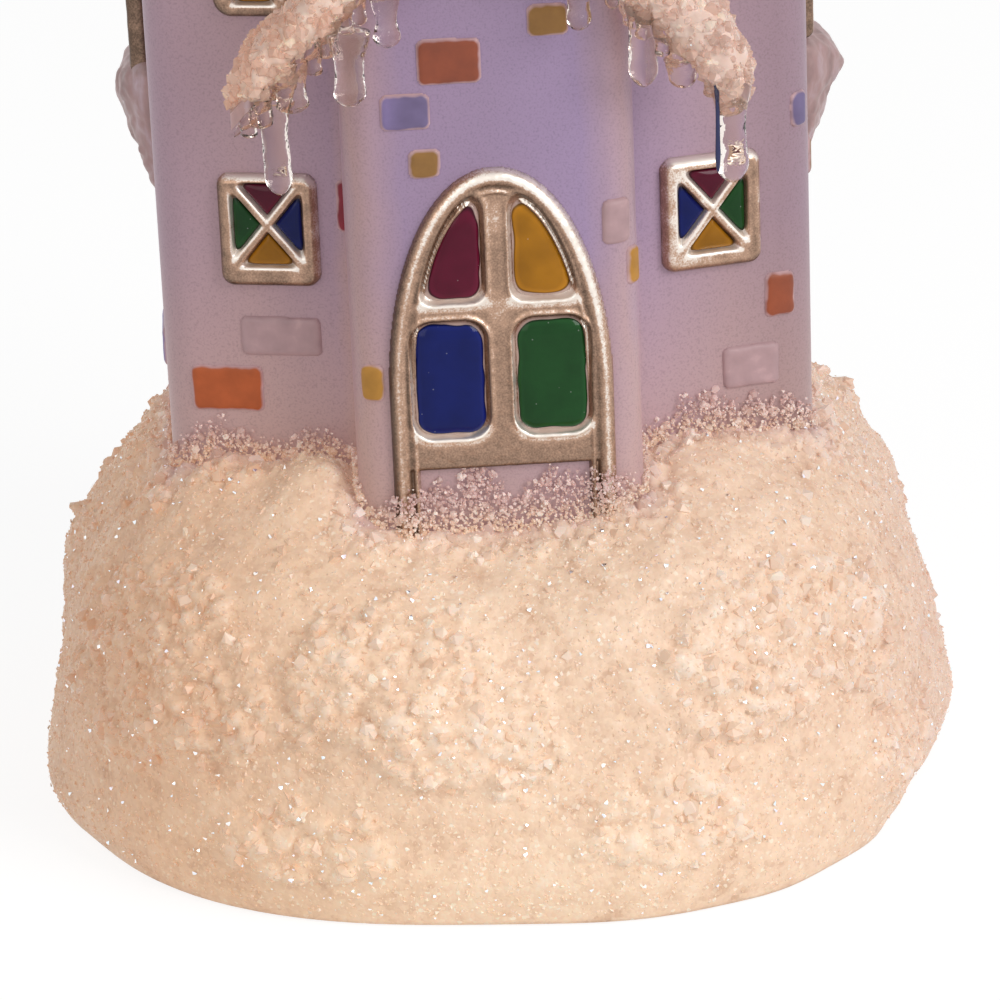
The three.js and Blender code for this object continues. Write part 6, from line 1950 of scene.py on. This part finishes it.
class CHURCH_OT_roof(bpy.types.Operator):
    """Gives the nave's roof its finish and builds the snow on it"""

    bl_idname = "village_church.roof"
    bl_label = "Nave Roof"

    def execute(self, context):
        snow = context.scene.church_snow
        paint_node("nave_roof", bpy.data.materials["frosted_acrylic"])
        outline = rounded_outline(NAVE_OUTLINE, ROOF_SNOW_OVERHANG)[0]
        front, back = outline[outline[:, 1] < 0], outline[outline[:, 1] > 0]
        front, back = front[np.argsort(front[:, 0])], back[np.argsort(back[:, 0])]
        half = NAVE_HALF_WIDTH + ROOF_SNOW_OVERHANG

        def place(u, v):
            x = half * (2 * u - 1) * 0.999
            first, last = np.interp(x, front[:, 0], front[:, 1]), np.interp(x, back[:, 0], back[:, 1])
            around = (v * 2) % 2
            top = around < 1
            share = around if top else 2 - around
            rim = min(share, 1 - share) * (last - first)
            edge = min(rim, half - abs(x) + 0.3)
            thick = ROOF_SNOW_THICKNESS * float(rounded_edge(edge, 4)) if top else 0
            z = gable_line(x, NAVE_HALF_WIDTH, NAVE_EAVES, NAVE_PITCH, ROOF_SNOW_LIFT + thick)
            z = z - 1.5 * math.exp(-((x / 5) ** 2)) * top
            return (x, first + share * (last - first), z), float(top)

        frost = Vector(snow.frost)
        finish = snow_finish(frost * 1.1, frost * 0.8, snow, "roof_snow")
        drift = snow_ridge(240, 210, place)
        lay_drift("roof", "nave_roof_snow", drift, finish, 1.0, 0.6, snow, 40)
        return {"FINISHED"}


SPIRE_BOTTOM = 250.6
SPIRE_HEIGHT = 38
SPIRE_HALF = 20
SPIRE_SNOW_DEPTH = 2.5
SPIRE_SNOW_START = 7


class CHURCH_OT_tower(bpy.types.Operator):
    """Gives the belfry, the spire and the cross their finishes, and builds the spire's snow"""

    bl_idname = "village_church.tower"
    bl_label = "Belfry and Spire"

    def execute(self, context):
        snow, trim = context.scene.church_snow, context.scene.church_trim
        paint_node("belfry", bpy.data.materials["frosted_acrylic"])
        paint_node("spire", bpy.data.materials["frosted_acrylic"])
        paint_node("cross", gold_finish(trim, "cross_gold", 1.0, 0.28))
        top = SPIRE_BOTTOM + SPIRE_HEIGHT + SPIRE_HEIGHT * SPIRE_SNOW_DEPTH / SPIRE_HALF / 2
        bottom = SPIRE_BOTTOM + SPIRE_SNOW_START

        def place(u, v):
            angle = 2 * math.pi * v
            cos, sin = math.cos(angle), math.sin(angle)
            square = max(abs(cos), abs(sin))
            z = bottom + (top - bottom) * u
            taper = 1 - (z - SPIRE_BOTTOM) / (SPIRE_HEIGHT * (SPIRE_HALF + SPIRE_SNOW_DEPTH) / SPIRE_HALF)
            side = (SPIRE_HALF + SPIRE_SNOW_DEPTH) * taper - 0.4
            foot = 0.86 + 0.14 * min(1, u * 12) ** 0.5
            round_share = 0.9
            reach = side * foot * (round_share / square + 1 - round_share)
            return (reach * cos, TOWER_MIDDLE + reach * sin, z), float(u > 0.01)

        frost = Vector(snow.frost)
        finish = snow_finish(frost * 1.1, frost * 0.8, snow, "spire_snow")
        drift = snow_ridge(160, 120, place)
        lay_drift("spire", "spire_snow", drift, finish, 0.7, 0.8, snow, 50)
        return {"FINISHED"}


# Base


class CHURCH_OT_base(bpy.types.Operator):
    """Finishes the housing, the battery door, the switch and what is inside"""

    bl_idname = "village_church.base"
    bl_label = "Base"

    def execute(self, context):
        white = plain_finish("housing_white", srgb(214, 208, 200), 0.45)
        black = plain_finish("plate_black", srgb(44, 44, 47), 0.5)
        rubber = plain_finish("foot_rubber", srgb(36, 36, 38), 0.85, size=0.6)
        steel = plain_finish("zinc_steel", srgb(176, 178, 182), 0.28, metallic=1.0, size=0.8)
        finishes = {
            "base_housing": white, "switch_slider": white, "bottom_plate": black,
            "battery_door": black, "switch_body": black,
            "circuit_board": plain_finish("board_green", srgb(28, 92, 52), 0.45),
            "led": plain_finish("lamp_lens", srgb(222, 208, 246), 0.12),
            "light_diffuser": plain_finish("diffuser_white", srgb(232, 228, 238), 0.5),
            "wire_black": plain_finish("wire_black", srgb(26, 26, 29), 0.45, size=0.5),
        }
        red = plain_finish("wire_red", srgb(160, 30, 28), 0.45, size=0.5)
        sleeve = plain_finish("battery_sleeve", srgb(58, 92, 132), 0.35, metallic=0.2, size=2.5)
        for name in frame["nodes"]:
            if name.startswith("foot_"):
                finishes[name] = rubber
            elif name.startswith(("screw_", "contact_")):
                finishes[name] = steel
            elif name.startswith("wire_red"):
                finishes[name] = red
            elif name.startswith("battery_") and name != "battery_door":
                finishes[name] = sleeve
        for name, finish in finishes.items():
            paint_node(name, finish)
        return {"FINISHED"}


# Stage

LENS = 171.43
CAMERA_TARGET = (0.0015, 0.0, 0.0424)
CAMERA_DISTANCE = 0.8
CAMERA_DOWN = math.radians(22)
CAMERA_LEFT = math.radians(2.5)
CAMERA_ROLL = math.radians(2.4)
FLOOR_RADIUS = 4.0
FLOOR_CORNERS = 96


def place_camera():
    ahead = Vector((
        math.sin(CAMERA_LEFT) * math.cos(CAMERA_DOWN),
        math.cos(CAMERA_LEFT) * math.cos(CAMERA_DOWN),
        -math.sin(CAMERA_DOWN),
    ))
    right = Vector((math.cos(CAMERA_LEFT), -math.sin(CAMERA_LEFT), 0))
    up = right.cross(ahead)
    cos, sin = math.cos(CAMERA_ROLL), math.sin(CAMERA_ROLL)
    turned_right, turned_up = right * cos - up * sin, right * sin + up * cos
    camera = bpy.data.objects.new("camera", bpy.data.cameras.new("camera"))
    camera.data.sensor_width = 36
    camera.data.lens = LENS
    camera.data.clip_start = 0.01
    camera.data.clip_end = 20
    matrix = Matrix((turned_right, turned_up, -ahead)).transposed().to_4x4()
    matrix.translation = Vector(CAMERA_TARGET) - ahead * CAMERA_DISTANCE
    camera.matrix_world = matrix
    bpy.context.scene.collection.objects.link(camera)
    bpy.context.scene.camera = camera


# Each lamp: its place, what it points at, its size and its colour
LAMPS = {
    "key": ((0.66, -0.66, 0.6), (0, -0.02, 0.08), 0.5, (1, 0.99, 0.98)),
    "fill": ((-0.6, -0.8, 0.5), (0, 0, 0.1), 0.6, (1, 0.95, 0.88)),
}


def area_lamp(name, power, place, target, size, colour):
    lamp = bpy.data.lights.new(name, "AREA")
    lamp.energy = power
    lamp.size = size
    lamp.color = colour
    holder = bpy.data.objects.new(name, lamp)
    holder.location = place
    holder.rotation_euler = (Vector(target) - Vector(place)).to_track_quat("-Z", "Y").to_euler()
    bpy.context.scene.collection.objects.link(holder)


def seen_directly(tree):
    """1 for what the camera sees directly or through gloss and glass, else 0."""
    rays = add_node(tree, "ShaderNodeLightPath").outputs
    seen = maths(tree, "MAXIMUM", rays["Is Camera Ray"], rays["Is Glossy Ray"])
    return maths(tree, "MAXIMUM", seen, rays["Is Transmission Ray"])


def floor_finish(colour):
    """Pale floor that keeps the shadow, and is clear from below."""
    material = bpy.data.materials.new("studio_floor")
    material.use_nodes = True
    tree = material.node_tree
    tree.nodes.clear()
    place = add_node(tree, "ShaderNodeTexCoord").outputs["Object"]
    tone = ramp(tree, speckle(tree, place, 40), [(0.3, 0.82), (0.7, 0.84)])
    tone = blend_colours(tree, 1.0, tone, colour, "MULTIPLY")
    paint = add_node(tree, "ShaderNodeBsdfDiffuse", {"Color": tone})
    thin = add_node(tree, "ShaderNodeBsdfDiffuse", {"Color": (0.24, 0.24, 0.24, 1)})
    glow = add_node(tree, "ShaderNodeEmission", {"Color": (1, 1, 1, 1), "Strength": 0.84})
    shown = add_node(tree, "ShaderNodeAddShader")
    tree.links.new(thin.outputs[0], shown.inputs[0])
    tree.links.new(glow.outputs[0], shown.inputs[1])
    either = add_node(tree, "ShaderNodeMixShader", {"Fac": seen_directly(tree)})
    tree.links.new(paint.outputs[0], either.inputs[1])
    tree.links.new(shown.outputs[0], either.inputs[2])
    below = add_node(tree, "ShaderNodeNewGeometry").outputs["Backfacing"]
    final = add_node(tree, "ShaderNodeMixShader", {"Fac": below})
    tree.links.new(either.outputs[0], final.inputs[1])
    tree.links.new(add_node(tree, "ShaderNodeBsdfTransparent").outputs[0], final.inputs[2])
    output = add_node(tree, "ShaderNodeOutputMaterial")
    tree.links.new(final.outputs[0], output.inputs["Surface"])
    return material


class CHURCH_OT_stage(bpy.types.Operator):
    """Sets up the floor, the lamps, the surroundings and the camera"""

    bl_idname = "village_church.stage"
    bl_label = "Studio"

    def execute(self, context):
        stage = context.scene.church_stage
        context.scene.view_settings.view_transform = "Standard"
        corners = [
            (FLOOR_RADIUS * math.cos(a) / MM, FLOOR_RADIUS * math.sin(a) / MM, 0)
            for a in np.linspace(0, 2 * math.pi, FLOOR_CORNERS, endpoint=False)
        ]
        rim = tuple(range(FLOOR_CORNERS))
        floor = new_piece("floor", corners, [rim], floor_finish(stage.floor), smooth=False)
        for name, lamp in LAMPS.items():
            area_lamp(name, getattr(stage, name), *lamp)
        world = bpy.data.worlds.new("studio")
        context.scene.world = world
        world.use_nodes = True
        tree = world.node_tree
        back = tree.nodes["Background"]
        back.inputs["Color"].default_value = (1, 1, 1, 1)
        strength = add_node(tree, "ShaderNodeMapRange", {
            "Value": seen_directly(tree), "To Min": stage.sky, "To Max": 1.0,
        })
        tree.links.new(strength.outputs["Result"], back.inputs["Strength"])
        place_camera()
        return {"FINISHED"}


class CHURCH_PT_panel(bpy.types.Panel):
    """Sizes, colours and steps of the church"""

    bl_idname = "CHURCH_PT_panel"
    bl_label = "Village Church"
    bl_space_type = "VIEW_3D"
    bl_region_type = "UI"
    bl_category = "Church"

    def draw(self, context):
        for name, group in GROUPS.items():
            box = self.layout.box()
            for key in group.__annotations__:
                box.prop(getattr(context.scene, name), key)
        for operator in STEPS:
            self.layout.operator(operator.bl_idname)


GROUPS = {
    "church_snow": CHURCH_PG_snow,
    "church_body": CHURCH_PG_body,
    "church_trim": CHURCH_PG_trim,
    "church_ice": CHURCH_PG_ice,
    "church_stage": CHURCH_PG_stage,
}
STEPS = (
    CHURCH_OT_stage,
    CHURCH_OT_mound,
    CHURCH_OT_body,
    CHURCH_OT_bricks,
    CHURCH_OT_door,
    CHURCH_OT_windows,
    CHURCH_OT_porch,
    CHURCH_OT_icicles,
    CHURCH_OT_sills,
    CHURCH_OT_roof,
    CHURCH_OT_tower,
    CHURCH_OT_base,
)


def register():
    for group in (*GROUPS.values(), *STEPS, CHURCH_PT_panel):
        bpy.utils.register_class(group)
    for name, group in GROUPS.items():
        setattr(bpy.types.Scene, name, bpy.props.PointerProperty(type=group))


def unregister():
    for name in GROUPS:
        delattr(bpy.types.Scene, name)
    for group in (CHURCH_PT_panel, *reversed(STEPS), *reversed(list(GROUPS.values()))):
        bpy.utils.unregister_class(group)


def main():
    register()
    for step in STEPS:
        family, name = step.bl_idname.split(".")
        result = getattr(getattr(bpy.ops, family), name)()
        if result != {"FINISHED"}:
            raise RuntimeError(f"{step.bl_label} wasn't built")


if __name__ == "__main__":
    main()
